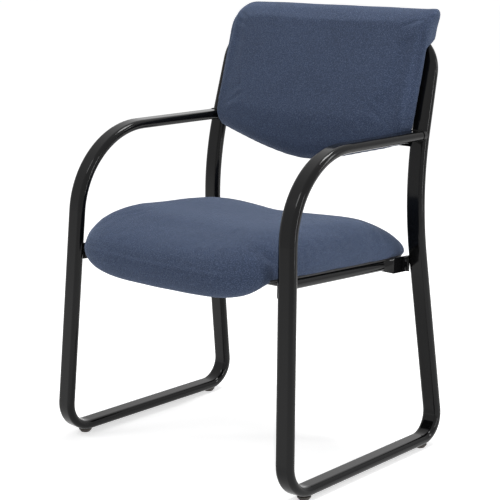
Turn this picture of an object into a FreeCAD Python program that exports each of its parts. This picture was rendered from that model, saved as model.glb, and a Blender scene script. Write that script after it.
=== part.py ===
import FreeCAD, Part
import math
import os

import Sketcher

# Visitor chair on a sled base. Millimetres, +Z up, the floor at z = 0.
# The sitter faces -Y, so the sitter's left hand is on the +X side.

Vector = FreeCAD.Vector
Placement = FreeCAD.Placement
Rotation = FreeCAD.Rotation
X_AXIS = Vector(1, 0, 0)
Y_AXIS = Vector(0, 1, 0)
Z_AXIS = Vector(0, 0, 1)

os.makedirs("parts", exist_ok=True)
doc = FreeCAD.newDocument("visitor_chair")

# Driving dimensions, in millimetres and degrees

SIZES = [
    # flat-oval steel tube of the side frames and the back hoop
    ("tube_width", 38.0),
    ("tube_thickness", 18.0),
    ("tube_wall", 1.6),
    # side frame, seen from the side, as corner points of the tube's centre line
    ("glide_height", 8.0),
    ("runner_half_spacing", 282.5),
    ("runner_front", 233.0),
    ("runner_rear", 234.0),
    ("front_leg_lean", 3.84),
    ("rear_leg_lean", 7.33),
    ("knee_height", 501.0),
    ("upright_lean", 14.79),
    ("arm_height", 615.0),
    ("arm_slope", 0.4),
    ("arm_bend_radius", 165.0),
    ("front_floor_bend_radius", 54.0),
    ("rear_floor_bend_radius", 47.0),
    ("knee_bend_radius", 606.0),
    ("splay", 2.42),
    ("toe", 0.55),
    # back hoop, measured up the leaning uprights from the arms
    ("hoop_joint_above_arm", 35.23),
    ("hoop_top_above_arm", 175.23),
    ("hoop_bend_radius", 62.0),
    ("sleeve_length", 60.0),
    ("sleeve_wall", 2.0),
    ("weld_width", 2.5),
    ("weld_gap", 0.1),
    # glides
    ("glide_diameter", 26.0),
    ("glide_foot_diameter", 18.0),
    ("glide_rim_height", 2.6),
    ("front_glide_distance", 179.0),
    ("rear_glide_distance", 185.0),
    ("glide_pin_diameter", 5.0),
    ("glide_pin_head_diameter", 9.0),
    ("glide_pin_head_height", 2.0),
    ("glide_pin_recess", 3.3),
    # seat frame
    ("seat_frame_height", 382.1),
    ("seat_tilt", 2.87),
    ("rail_diameter", 19.0),
    ("rail_wall", 1.5),
    ("rail_leg_gap", 18.72),
    ("rail_round_front", 157.0),
    ("rail_round_rear", 118.0),
    ("rail_transition", 22.0),
    ("rail_setback", 3.0),
    ("rail_flat_width", 30.0),
    ("rail_flat_thickness", 3.2),
    ("tab_width", 32.0),
    ("tab_thickness", 3.0),
    ("tab_reach", 26.0),
    ("tab_setback", 2.0),
    ("tab_taper", 4.0),
    ("tab_screw_diameter", 4.0),
    ("tab_screw_head_diameter", 7.0),
    ("tab_screw_head_height", 2.4),
    ("tab_nut_diameter", 7.6),
    ("tab_nut_height", 3.0),
    ("tab_screw_pitch", 16.0),
    ("tab_screw_inset", 15.5),
    ("tab_screw_end", 1.0),
    ("cross_tube_front", 145.0),
    ("cross_tube_rear", 100.0),
    ("seat_bolt_spread", 130.0),
    ("bolt_diameter", 6.0),
    ("bolt_head_diameter", 11.0),
    ("bolt_head_height", 3.6),
    ("washer_diameter", 16.0),
    ("washer_thickness", 1.2),
    ("spacer_diameter", 14.0),
    ("tee_barrel_diameter", 8.0),
    ("tee_flange_diameter", 19.0),
    ("tee_flange_thickness", 1.2),
    # seat upholstery; the last lines are exponents of the cushion's outline and edges
    ("seat_side_gap", 6.64),
    ("seat_front", 272.0),
    ("seat_rear", 224.0),
    ("seat_crown", 48.0),
    ("seat_middle_front", 50.9),
    ("seat_middle_rear", 25.9),
    ("seat_rear_lip", 1.0),
    ("seat_front_drop", 38.0),
    ("seat_rear_drop", 31.0),
    ("seat_roll_depth", 60.0),
    ("seat_roll_length", 25.0),
    ("seat_side_tuck", 16.0),
    ("seat_dish", 8.0),
    ("seat_side_rise", 7.0),
    ("seat_front_squareness", 4.9),
    ("seat_rear_squareness", 9.1),
    ("seat_front_fullness", 10.9),
    ("seat_rear_fullness", 2.55),
    ("seat_side_fullness", 5.5),
    # seat board and the thin panel under it
    ("seat_panel_thickness", 2.0),
    ("seat_panel_inset", 32.0),
    ("seat_panel_rear_inset", 14.0),
    ("seat_panel_front", 194.0),
    ("seat_board_thickness", 12.0),
    ("seat_board_side_inset", 32.0),
    ("seat_board_front_inset", 24.0),
    ("seat_board_rear_inset", 18.0),
    ("seat_board_corner", 60.0),
    # back upholstery, across and up the leaning uprights from the arms
    ("back_side_overlap", 8.57),
    ("back_bottom_below_arm", 74.77),
    ("back_top_above_arm", 241.23),
    ("back_corner_radius", 40.0),
    ("back_lower_corner_radius", 62.0),
    ("back_bottom_slope", 0.30),
    ("back_bottom_nose", 80.0),
    ("back_lumbar_above_arm", 10.23),
    ("back_lower_fall", 7.95),
    ("back_lumbar_depth", 58.0),
    ("back_taper", 0.122),
    ("back_side_depth", 26.0),
    ("back_side_fullness", 6.0),
    ("back_roll_height", 48.0),
    ("back_step_above_arm", 147.23),
    ("back_step_side_rise", 24.0),
    ("back_step_top_gap", 24.0),
    ("back_foot_height", 26.0),
    ("back_crest_depth", 2.0),
    ("back_nape_drop", 14.0),
    ("back_board_thickness", 12.0),
    ("back_board_inset", 18.0),
    ("back_board_top_inset", 28.0),
    ("back_board_corner", 35.0),
    ("back_panel_thickness", 2.0),
    ("back_panel_inset", 14.0),
    ("back_bolt_spread", 105.0),
    ("cross_bar_below_arm", 8.77),
    ("cross_bar_height", 32.0),
    ("cross_bar_thickness", 5.0),
    ("cover_thickness", 1.2),
    ("seat_hem_width", 50.0),
    ("back_hem_width", 30.0),
    ("clearance", 0.3),
    ("thread_gap", 0.1),
]

sheet = doc.addObject("Spreadsheet::Sheet", "Sizes")
for row, (alias, value) in enumerate(SIZES, start=1):
    sheet.set("A%d" % row, alias)
    sheet.set("B%d" % row, repr(value))
    sheet.setAlias("B%d" % row, alias)
doc.recompute()


def number(expression):
    """The value of an expression over the sheet."""
    return float(sheet.evalExpression(str(expression)))


size = {alias: number("Sizes." + alias) for alias, _ in SIZES}
keepers = []


def keep(thing, label):
    """Marks an object as a piece of the chair, with its node's name."""
    thing.Label = label
    keepers.append(thing)
    return thing


# Sketch and body helpers

def new_body(label):
    return keep(doc.addObject("PartDesign::Body", label), label)


def origin_plane(body, role):
    for feature in body.Origin.OriginFeatures:
        if feature.Role == role:
            return feature
    raise ValueError(role)


def new_sketch(body, role="XY_Plane", height="0"):
    """A sketch on one of the body's own planes, raised by an expression."""
    sketch = body.newObject("Sketcher::SketchObject", body.Name + "_sketch")
    sketch.AttachmentSupport = [(origin_plane(body, role), "")]
    sketch.MapMode = "FlatFace"
    sketch.setExpression("AttachmentOffset.Base.z", str(height))
    return sketch


def hold_point(sketch, geometry, position, x_expression, y_expression):
    """Ties a sketch point to the origin with two named distances."""
    for kind, expression in (("DistanceX", x_expression), ("DistanceY", y_expression)):
        index = sketch.addConstraint(
            Sketcher.Constraint(kind, -1, 1, geometry, position, number(expression))
        )
        name = "%s%d" % (kind, index)
        sketch.renameConstraint(index, name)
        sketch.setExpression("Constraints." + name, str(expression))


def add_circle(sketch, x_expression, y_expression, diameter_expression):
    centre = Vector(number(x_expression), number(y_expression), 0)
    radius = number(diameter_expression) / 2
    circle = sketch.addGeometry(Part.Circle(centre, Z_AXIS, radius), False)
    hold_point(sketch, circle, 3, x_expression, y_expression)
    index = sketch.addConstraint(Sketcher.Constraint("Diameter", circle, 2 * radius))
    name = "Diameter%d" % index
    sketch.renameConstraint(index, name)
    sketch.setExpression("Constraints." + name, str(diameter_expression))


def add_polygon(sketch, corners):
    """A closed outline through corners given as pairs of expressions."""
    points = [Vector(number(x), number(y), 0) for x, y in corners]
    lines = []
    for here, there in zip(points, points[1:] + points[:1]):
        lines.append(sketch.addGeometry(Part.LineSegment(here, there), False))
    for line, following in zip(lines, lines[1:] + lines[:1]):
        sketch.addConstraint(Sketcher.Constraint("Coincident", line, 2, following, 1))
    for line, (x_expression, y_expression) in zip(lines, corners):
        hold_point(sketch, line, 1, x_expression, y_expression)


def add_oval(sketch, width_expression, height_expression, x_expression="0"):
    """A flat oval, two straight sides joined by half circles, wide along the sketch's X."""
    half_height = number(height_expression) / 2
    half_flat = number(width_expression) / 2 - half_height
    centre = number(x_expression)
    right = Vector(centre + half_flat, 0, 0)
    left = Vector(centre - half_flat, 0, 0)
    rise = Vector(0, half_height, 0)
    quarter = math.pi / 2
    top = sketch.addGeometry(Part.LineSegment(right + rise, left + rise), False)
    bottom = sketch.addGeometry(Part.LineSegment(left - rise, right - rise), False)
    right_circle = Part.Circle(right, Z_AXIS, half_height)
    left_circle = Part.Circle(left, Z_AXIS, half_height)
    right_arc = sketch.addGeometry(Part.ArcOfCircle(right_circle, -quarter, quarter), False)
    left_arc = sketch.addGeometry(Part.ArcOfCircle(left_circle, quarter, 3 * quarter), False)
    sketch.addConstraint(Sketcher.Constraint("Tangent", right_arc, 2, top, 1))
    sketch.addConstraint(Sketcher.Constraint("Tangent", top, 2, left_arc, 1))
    sketch.addConstraint(Sketcher.Constraint("Tangent", left_arc, 2, bottom, 1))
    sketch.addConstraint(Sketcher.Constraint("Tangent", bottom, 2, right_arc, 1))
    flat = "(%s - %s) / 2" % (width_expression, height_expression)
    hold_point(sketch, right_arc, 3, "%s + %s" % (x_expression, flat), "0")
    hold_point(sketch, left_arc, 3, "%s - %s" % (x_expression, flat), "0")
    index = sketch.addConstraint(Sketcher.Constraint("Radius", right_arc, half_height))
    name = "Radius%d" % index
    sketch.renameConstraint(index, name)
    sketch.setExpression("Constraints." + name, "%s / 2" % height_expression)


def pad(body, sketch, length_expression, midplane=False):
    feature = body.newObject("PartDesign::Pad", body.Name + "_pad")
    feature.Profile = sketch
    feature.setExpression("Length", str(length_expression))
    feature.Midplane = midplane
    body.Tip = feature
    return feature


def pocket_through(body, sketch):
    """Cuts a sketch right through the body, both ways."""
    feature = body.newObject("PartDesign::Pocket", body.Name + "_pocket")
    feature.Profile = sketch
    feature.Type = "ThroughAll"
    feature.Midplane = True
    body.Tip = feature
    return feature


def revolve(body, sketch):
    """Turns a sketch on the XZ plane about the body's Z axis."""
    feature = body.newObject("PartDesign::Revolution", body.Name + "_turned")
    feature.Profile = sketch
    feature.ReferenceAxis = (sketch, ["V_Axis"])
    feature.Angle = 360
    body.Tip = feature
    return feature


def fillet_edges(body, feature, radius_expression, wanted):
    """Rounds the edges of a feature that the test picks."""
    doc.recompute()
    names = []
    for index, edge in enumerate(feature.Shape.Edges, start=1):
        if wanted(edge):
            names.append("Edge%d" % index)
    rounding = body.newObject("PartDesign::Fillet", body.Name + "_fillet")
    rounding.Base = (feature, names)
    rounding.setExpression("Radius", str(radius_expression))
    body.Tip = rounding
    return rounding


PARALLEL = 0.999


def along(edge, axis):
    """Whether a straight edge runs along an axis."""
    if not isinstance(edge.Curve, Part.Line):
        return False
    return abs(edge.Curve.Direction.dot(axis)) > PARALLEL


def group_of(label, shape_source, placements):
    """Copies of one piece in one node, one solid at each placement."""
    copies = []
    for placement in placements:
        copy = doc.addObject("Part::Feature", label + "_copy")
        copy.Shape = shape_source.Shape.copy()
        copy.Placement = placement.multiply(shape_source.Placement)
        copies.append(copy)
    group = doc.addObject("Part::Compound", label)
    group.Links = copies
    return keep(group, label)


def cut(label, base, tool):
    result = doc.addObject("Part::Cut", label)
    result.Base = base
    result.Tool = tool
    return result


def fuse(label, shapes):
    result = doc.addObject("Part::MultiFuse", label)
    result.Shapes = shapes
    return result


# Bent tubes

def tube_path(label, corners, radii):
    """Straight runs between corner points, joined by tangent arcs."""
    starts = [corners[0]]
    edges = []
    for before, corner, after, radius in zip(corners, corners[1:], corners[2:], radii):
        back = (before - corner).normalize()
        ahead = (after - corner).normalize()
        half_angle = back.getAngle(ahead) / 2
        reach = radius / math.tan(half_angle)
        middle = (back + ahead).normalize()
        deep = radius / math.sin(half_angle) - radius
        arc_start = corner + back * reach
        arc_end = corner + ahead * reach
        edges.append(Part.LineSegment(starts[-1], arc_start).toShape())
        edges.append(Part.Arc(arc_start, corner + middle * deep, arc_end).toShape())
        starts.append(arc_end)
    edges.append(Part.LineSegment(starts[-1], corners[-1]).toShape())
    path = doc.addObject("Part::Feature", label + "_path")
    path.Shape = Part.Wire(edges)
    return path


def tube_sweep(label, path, offset_expression, wide_axis=X_AXIS):
    """A solid flat oval along a path, grown or shrunk by an offset on every side."""
    section = doc.addObject("Sketcher::SketchObject", label + "_section")
    add_oval(
        section,
        "(Sizes.tube_width + 2 * (%s))" % offset_expression,
        "(Sizes.tube_thickness + 2 * (%s))" % offset_expression,
    )
    first = path.Shape.Edges[0]
    start = first.valueAt(first.FirstParameter)
    heading = first.tangentAt(first.FirstParameter)
    sideways = heading.cross(wide_axis)
    section.Placement = Placement(start, Rotation(wide_axis, sideways, heading, "ZXY"))
    sweep = doc.addObject("Part::Sweep", label)
    sweep.Sections = [section]
    sweep.Spine = (path, ["Edge%d" % (n + 1) for n in range(len(path.Shape.Edges))])
    sweep.Solid = True
    sweep.Frenet = False
    return sweep


def slope(angle):
    return math.tan(math.radians(angle))


runner_height = size["glide_height"] + size["tube_thickness"] / 2


def side_plane_x(y, z):
    """How far the tube's centre stands from the middle plane at a point of the side frame."""
    spread = size["runner_half_spacing"] - (z - runner_height) * slope(size["splay"])
    return spread - y * slope(size["toe"])


def front_leg_y(z):
    return -size["runner_front"] + (z - runner_height) * slope(size["front_leg_lean"])


def rear_leg_y(z):
    return size["runner_rear"] - (z - runner_height) * slope(size["rear_leg_lean"])


knee_y = rear_leg_y(size["knee_height"])
knee = Vector(0, knee_y, size["knee_height"])
lean = math.radians(size["upright_lean"])
up_the_back = Vector(0, math.sin(lean), math.cos(lean))
back_normal = Vector(0, -math.cos(lean), math.sin(lean))


def upright_point(rise):
    """A point of the upright's centre line, from its distance up from the knee."""
    return knee + up_the_back * rise


def arm_line_z(y):
    return size["arm_height"] - (y + size["runner_front"]) * slope(size["arm_slope"])


MEETING_ROUNDS = 4


def meet_arm_and_front_leg():
    """Where the arm's line crosses the front leg's line."""
    y = front_leg_y(size["arm_height"])
    for _ in range(MEETING_ROUNDS):
        y = front_leg_y(arm_line_z(y))
    return y, arm_line_z(y)


def meet_arm_and_upright():
    """How far up the upright the arm's centre line meets it."""
    rise = (size["arm_height"] - size["knee_height"]) / math.cos(lean)
    for _ in range(MEETING_ROUNDS):
        point = upright_point(rise)
        rise += (arm_line_z(point.y) - point.z) / math.cos(lean)
    return rise


arm_rise = meet_arm_and_upright()
arm_corner = meet_arm_and_front_leg()

# Heights up the uprights that follow the arms
hoop_joint_rise = arm_rise + size["hoop_joint_above_arm"]
hoop_top_rise = arm_rise + size["hoop_top_above_arm"]
back_bottom_rise = arm_rise - size["back_bottom_below_arm"]
back_top_rise = arm_rise + size["back_top_above_arm"]
back_lumbar_rise = arm_rise + size["back_lumbar_above_arm"]
back_step_rise = arm_rise + size["back_step_above_arm"]
cross_bar_rise = arm_rise - size["cross_bar_below_arm"]


def side_point(side, y, z):
    return Vector(side * side_plane_x(y, z), y, z)


def side_frame(side, label):
    """One side: arm, front leg, runner, rear leg and the lower part of the upright."""
    top = upright_point(hoop_joint_rise)
    arm_end = upright_point(arm_rise)
    wide = side_point(side, 0, size["arm_height"]) - side_point(side, 0, runner_height)
    runner = side_point(side, size["runner_rear"], 0) - side_point(side, 0, 0)
    across = runner.cross(wide).normalize()
    middle_leg_z = size["knee_height"] / 2
    leg_break = side_point(side, front_leg_y(middle_leg_z), middle_leg_z)
    loop_path = tube_path(
        label + "_loop",
        [
            side_point(side, top.y, top.z),
            side_point(side, knee.y, knee.z),
            side_point(side, size["runner_rear"], runner_height),
            side_point(side, -size["runner_front"], runner_height),
            leg_break,
        ],
        [
            size["knee_bend_radius"],
            size["rear_floor_bend_radius"],
            size["front_floor_bend_radius"],
        ],
    )
    arm_path = tube_path(
        label + "_arm",
        [
            leg_break,
            side_point(side, arm_corner[0], arm_corner[1]),
            side_point(side, arm_end.y, arm_end.z),
        ],
        [size["arm_bend_radius"]],
    )
    wall = "-Sizes.tube_wall"
    loop_outer = tube_sweep(label + "_loop_outer", loop_path, "0", across)
    loop_inner = tube_sweep(label + "_loop_inner", loop_path, wall, across)
    arm_outer = tube_sweep(label + "_arm_outer", arm_path, "0", across)
    arm_inner = tube_sweep(label + "_arm_inner", arm_path, wall, across)
    loop_tube = cut(label + "_loop_tube", loop_outer, loop_inner)
    arm_tube = cut(label + "_arm_tube", arm_outer, arm_inner)
    arm_coped = cut(label + "_arm_coped", arm_tube, loop_outer)
    frame = fuse(label, [loop_tube, arm_coped])
    return frame, loop_outer, arm_outer, across


def arm_weld(side, label, loop_outer, arm_outer, across):
    """The bead round the arm's end, where it meets the upright's front."""
    forward = Vector(0, -1, 0)
    reach = size["tube_thickness"] / 2 / math.cos(lean) + 2 * size["weld_width"]
    start = upright_point(arm_rise) + forward * reach
    end = upright_point(arm_rise) + forward * size["cross_bar_thickness"]
    path = tube_path(
        label,
        [
            side_point(side, start.y, arm_line_z(start.y)),
            side_point(side, end.y, end.z),
        ],
        [],
    )
    ring = tube_sweep(label + "_ring", path, "Sizes.weld_width / 2", across)
    bead = cut(label + "_without_arm", ring, arm_outer)
    return keep(cut(label, bead, loop_outer), label)


SIDES = (("left", 1), ("right", -1))


# Glides

def glide_spots():
    """Names and centres of the four glides under the runners."""
    spots = []
    for side_name, side in SIDES:
        for end_name, y in (
            ("front", -size["front_glide_distance"]),
            ("rear", size["rear_glide_distance"]),
        ):
            spots.append((end_name + "_" + side_name, side_point(side, y, 0)))
    return spots


half_flat = (size["tube_width"] - size["tube_thickness"]) / 2
glide_top = size["glide_height"] - half_flat * math.sin(math.radians(size["splay"]))


def glide(label, spot):
    """A turned plastic foot with a recess for the pin's head."""
    body = new_body(label)
    sketch = new_sketch(body, "XZ_Plane")
    hole = "Sizes.glide_pin_diameter / 2 + Sizes.clearance / 2"
    recess = "Sizes.glide_pin_head_diameter / 2 + Sizes.clearance"
    add_polygon(
        sketch,
        [
            (recess, "0"),
            ("Sizes.glide_foot_diameter / 2", "0"),
            ("Sizes.glide_diameter / 2", "%r - Sizes.glide_rim_height" % glide_top),
            ("Sizes.glide_diameter / 2", repr(glide_top)),
            (hole, repr(glide_top)),
            (hole, "Sizes.glide_pin_recess"),
            (recess, "Sizes.glide_pin_recess"),
        ],
    )
    revolve(body, sketch)
    body.Placement = Placement(Vector(spot.x, spot.y, 0), Rotation())
    return body


HEAD_FLAT = 0.72
HEAD_EDGE = 0.45


def turned_pin(label, radii_and_heights):
    """A pin, rivet, bolt or nut turned from (radius, height) corners."""
    body = doc.addObject("PartDesign::Body", label)
    body.Label = label
    sketch = new_sketch(body, "XZ_Plane")
    add_polygon(sketch, radii_and_heights)
    revolve(body, sketch)
    return body


for spot_name, spot in glide_spots():
    glide("glide_" + spot_name, spot)

pin_head = "Sizes.glide_pin_head_diameter / 2"
pin_shank = "Sizes.glide_pin_diameter / 2"
pin_foot = "Sizes.glide_pin_recess - Sizes.glide_pin_head_height"
pin_tip = "Sizes.glide_height + Sizes.tube_wall + Sizes.glide_pin_head_height"
glide_pin = turned_pin(
    "glide_pin",
    [
        ("0", pin_foot),
        ("%s * %r" % (pin_head, HEAD_FLAT), pin_foot),
        (pin_head, pin_foot + " + Sizes.glide_pin_head_height / 2"),
        (pin_head, "Sizes.glide_pin_recess"),
        (pin_shank, "Sizes.glide_pin_recess"),
        (pin_shank, pin_tip),
        ("0", pin_tip),
    ],
)
doc.recompute()
group_of("glide_pins", glide_pin, [Placement(spot, Rotation()) for _, spot in glide_spots()])

# Side frames, with the pins' holes in the runners

for side_name, side in SIDES:
    frame_name = "side_frame_" + side_name
    tube, loop_outer, arm_outer, across = side_frame(side, frame_name + "_tube")
    holes = []
    for spot_name, spot in glide_spots():
        if not spot_name.endswith(side_name):
            continue
        hole = doc.addObject("Part::Cylinder", "pin_hole_" + spot_name)
        hole.setExpression("Radius", "(Sizes.glide_pin_diameter + Sizes.clearance) / 2")
        hole.setExpression("Height", "Sizes.glide_height + Sizes.tube_thickness / 2")
        hole.Placement = Placement(spot, Rotation())
        holes.append(hole)
    frame = cut(frame_name, tube, fuse(frame_name + "_pin_holes", holes))
    keep(frame, frame_name)
    arm_weld(side, "arm_weld_" + side_name, loop_outer, arm_outer, across)

# Back hoop and the sleeves inside its joints

def hoop_corner(side, rise):
    point = upright_point(rise)
    return side_point(side, point.y, point.z)


hoop_path = tube_path(
    "back_hoop",
    [
        hoop_corner(-1, hoop_joint_rise),
        hoop_corner(-1, hoop_top_rise),
        hoop_corner(1, hoop_top_rise),
        hoop_corner(1, hoop_joint_rise),
    ],
    [size["hoop_bend_radius"], size["hoop_bend_radius"]],
)


def hoop_wide_axis(heading):
    return heading.cross(back_normal).normalize()


first_run = hoop_path.Shape.Edges[0]
hoop_wide = hoop_wide_axis(first_run.tangentAt(first_run.FirstParameter))
hoop_outer = tube_sweep("back_hoop_outer", hoop_path, "0", hoop_wide)
hoop_inner = tube_sweep("back_hoop_inner", hoop_path, "-Sizes.tube_wall", hoop_wide)
hoop_space = tube_sweep("back_hoop_space", hoop_path, "Sizes.clearance", hoop_wide)
hoop_tube = cut("back_hoop_tube", hoop_outer, hoop_inner)

sleeves = []
for side_name, side in SIDES:
    low = hoop_corner(side, hoop_joint_rise - size["sleeve_length"] / 2)
    high = hoop_corner(side, hoop_joint_rise + size["sleeve_length"] / 2)
    sleeve_path = tube_path("sleeve_" + side_name, [low, high], [])
    wide = hoop_wide_axis((high - low).normalize())
    gap = "-Sizes.tube_wall - Sizes.clearance"
    sleeves.append(
        cut(
            "sleeve_" + side_name,
            tube_sweep("sleeve_outer_" + side_name, sleeve_path, gap, wide),
            tube_sweep("sleeve_inner_" + side_name, sleeve_path, gap + " - Sizes.sleeve_wall", wide),
        )
    )
sleeve_pair = doc.addObject("Part::Compound", "hoop_sleeves")
sleeve_pair.Links = sleeves
keep(sleeve_pair, "hoop_sleeves")

# Seat frame, in its own tilted plane: z = 0 at the top of the rails

seat_plane = Placement(
    Vector(0, 0, size["seat_frame_height"]), Rotation(X_AXIS, -size["seat_tilt"])
)
rail_radius = size["rail_diameter"] / 2


def seat_height(y):
    """Height above the floor of the seat frame's top at a distance from the middle."""
    return size["seat_frame_height"] - y * slope(size["seat_tilt"])


def leg_inner_x(y):
    """Inner edge of the leg's tube, where its lean brings it nearest to the tab."""
    tab_top = seat_height(y) - rail_radius + size["tab_width"] / 2
    return side_plane_x(y, tab_top) - size["tube_width"] / 2 - size["weld_gap"]


front_leg_here = front_leg_y(seat_height(-size["runner_front"]) - rail_radius)
rear_leg_here = rear_leg_y(seat_height(size["runner_rear"]) - rail_radius)
rail_yaw = math.degrees(
    math.atan2(
        leg_inner_x(front_leg_here) - leg_inner_x(rear_leg_here),
        rear_leg_here - front_leg_here,
    )
)
leg_line_x = leg_inner_x(0)
rail_half_spacing = leg_line_x - size["rail_leg_gap"]
flat_offset = (
    leg_line_x
    - size["tab_thickness"]
    - size["rail_flat_thickness"] / 2
    - rail_half_spacing
)
tab_offset = leg_line_x - size["tab_thickness"] / 2 - rail_half_spacing


def rail_placement(side):
    """Takes a rail built along +Z to its place, sloping and toed with the legs."""
    turned = Rotation(Z_AXIS, side * rail_yaw).multiply(Rotation(X_AXIS, -90))
    in_seat = Placement(Vector(side * rail_half_spacing, 0, -rail_radius), turned)
    return seat_plane.multiply(in_seat)


def seat_rail(side, label):
    """A round tube whose two ends are pressed flat and carried outwards to the legs."""
    body = new_body(label)
    offset = repr(side * flat_offset)
    ring = new_sketch(body, height="-Sizes.rail_round_front")
    add_circle(ring, "0", "0", "Sizes.rail_diameter")
    add_circle(ring, "0", "0", "Sizes.rail_diameter - 2 * Sizes.rail_wall")
    pad(body, ring, "Sizes.rail_round_front + Sizes.rail_round_rear")
    ends = (
        ("Sizes.rail_round_rear", 1, rear_leg_here - size["rail_setback"]),
        ("Sizes.rail_round_front", -1, -front_leg_here - size["rail_setback"]),
    )
    for start, way, end in ends:
        start_height = "%d * %s" % (way, start)
        flat_height = "%d * (%s + Sizes.rail_transition)" % (way, start)
        circle = new_sketch(body, height=start_height)
        add_circle(circle, "0", "0", "Sizes.rail_diameter")
        flat = new_sketch(body, height=flat_height)
        half_thick = "Sizes.rail_flat_thickness / 2"
        half_wide = "Sizes.rail_flat_width / 2"
        corners = [
            ("%s - %s" % (offset, half_thick), "-" + half_wide),
            ("%s + %s" % (offset, half_thick), "-" + half_wide),
            ("%s + %s" % (offset, half_thick), half_wide),
            ("%s - %s" % (offset, half_thick), half_wide),
        ]
        add_polygon(flat, corners)
        doc.recompute()
        loft = body.newObject("PartDesign::AdditiveLoft", body.Name + "_flare")
        loft.Profile = circle
        loft.Sections = [flat]
        body.Tip = loft
        end_flat = new_sketch(body, height=flat_height)
        add_polygon(end_flat, corners)
        feature = pad(body, end_flat, "%r - %s - Sizes.rail_transition" % (end, start))
        feature.Reversed = way < 0
    holes = new_sketch(body, "YZ_Plane")
    for height in tab_screw_heights():
        for drop in ("-1", "1"):
            add_circle(
                holes,
                drop + " * Sizes.tab_screw_pitch / 2",
                repr(height),
                "Sizes.tab_screw_diameter + Sizes.clearance",
            )
    pocket_through(body, holes)
    body.Placement = rail_placement(side)
    return body


def tab_screw_heights():
    """Where the tab screws stand along the rail, inside each leg."""
    return (
        front_leg_here + size["tab_screw_inset"],
        rear_leg_here - size["tab_screw_inset"],
    )


def leg_tab(side, label, leg_y, inward):
    """A plate welded to the leg's inner edge, which the rail's flat end is screwed to."""
    body = new_body(label)
    sketch = new_sketch(body, "YZ_Plane", repr(side * tab_offset))
    half = "Sizes.tab_width / 2"
    near = "%r + %d * Sizes.tab_setback" % (leg_y, inward)
    far = "%r + %d * Sizes.tab_reach" % (leg_y, inward)
    add_polygon(
        sketch,
        [
            ("-" + half, near),
            (half, near),
            (half + " - Sizes.tab_taper", far),
            ("Sizes.tab_taper - " + half, far),
        ],
    )
    feature = pad(body, sketch, "Sizes.tab_thickness", midplane=True)
    holes = new_sketch(body, "YZ_Plane")
    for drop in ("-1", "1"):
        add_circle(
            holes,
            drop + " * Sizes.tab_screw_pitch / 2",
            "%r + %d * Sizes.tab_screw_inset" % (leg_y, inward),
            "Sizes.tab_screw_diameter + Sizes.clearance",
        )
    pocket_through(body, holes)
    body.Placement = rail_placement(side)
    return body


for side_name, side in SIDES:
    seat_rail(side, "seat_rail_" + side_name)
    leg_tab(side, "leg_tab_front_" + side_name, front_leg_here, 1)
    leg_tab(side, "leg_tab_rear_" + side_name, rear_leg_here, -1)

screw_shank = "Sizes.tab_screw_diameter / 2"
screw_head = "Sizes.tab_screw_head_diameter / 2"
screw_grip = "Sizes.tab_thickness + Sizes.rail_flat_thickness + Sizes.tab_nut_height + Sizes.tab_screw_end"
tab_screw = turned_pin(
    "tab_screw",
    [
        ("0", "-(%s)" % screw_grip),
        (screw_shank, "-(%s)" % screw_grip),
        (screw_shank, "0"),
        (screw_head, "0"),
        (screw_head, "Sizes.tab_screw_head_height * %r" % HEAD_EDGE),
        ("%s * %r" % (screw_head, HEAD_FLAT), "Sizes.tab_screw_head_height"),
        ("0", "Sizes.tab_screw_head_height"),
    ],
)
nut_top = "-Sizes.tab_thickness - Sizes.rail_flat_thickness"
tab_nut = turned_pin(
    "tab_nut",
    [
        (screw_shank + " + Sizes.thread_gap", nut_top + " - Sizes.tab_nut_height"),
        ("Sizes.tab_nut_diameter / 2", nut_top + " - Sizes.tab_nut_height"),
        ("Sizes.tab_nut_diameter / 2", nut_top),
        (screw_shank + " + Sizes.thread_gap", nut_top),
    ],
)
doc.recompute()
tab_screw_places = []
for _, side in SIDES:
    for height in tab_screw_heights():
        for drop in (-1, 1):
            outer_face = side * (tab_offset + size["tab_thickness"] / 2)
            spot = Vector(outer_face, drop * size["tab_screw_pitch"] / 2, height)
            turned = Rotation(Y_AXIS, 90 * side)
            tab_screw_places.append(rail_placement(side).multiply(Placement(spot, turned)))
group_of("tab_screws", tab_screw, tab_screw_places)
group_of("tab_nuts", tab_nut, tab_screw_places)


def rail_x(y):
    """The rail's centre line, seen from above."""
    return rail_half_spacing - y * slope(rail_yaw)


def cross_tube(label, y):
    """A round tube between the rails, with two upright holes for the seat bolts."""
    body = new_body(label)
    ring = new_sketch(body, "YZ_Plane")
    add_circle(ring, "0", "0", "Sizes.rail_diameter")
    add_circle(ring, "0", "0", "Sizes.rail_diameter - 2 * Sizes.rail_wall")
    reach = rail_x(y) - rail_radius - size["clearance"] / 2
    pad(body, ring, repr(2 * reach), midplane=True)
    holes = new_sketch(body)
    for way in ("-", ""):
        add_circle(holes, way + "Sizes.seat_bolt_spread", "0", "Sizes.bolt_diameter + Sizes.clearance")
    pocket_through(body, holes)
    body.Placement = seat_plane.multiply(Placement(Vector(0, y, -rail_radius), Rotation()))
    return body


cross_tube("seat_cross_tube_front", -size["cross_tube_front"])
cross_tube("seat_cross_tube_rear", size["cross_tube_rear"])

seat_bolt_spots = []
for y in (-size["cross_tube_front"], size["cross_tube_rear"]):
    for way in (-1, 1):
        seat_bolt_spots.append(Vector(way * size["seat_bolt_spread"], y, 0))

# Flat boards and panels

def flat_plate(label, corners, low_expression, thickness_expression, holes=(), rounding=None):
    """A plate cut to an outline, with round holes and, where wanted, rounded corners."""
    body = new_body(label)
    outline = new_sketch(body, height=low_expression)
    add_polygon(outline, corners)
    feature = pad(body, outline, thickness_expression)
    if rounding:
        radius_expression, wanted = rounding
        fillet_edges(body, feature, radius_expression, wanted)
    if holes:
        sketch = new_sketch(body)
        for x, y, diameter in holes:
            add_circle(sketch, repr(x), repr(y), diameter)
        pocket_through(body, sketch)
    return body


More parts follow.
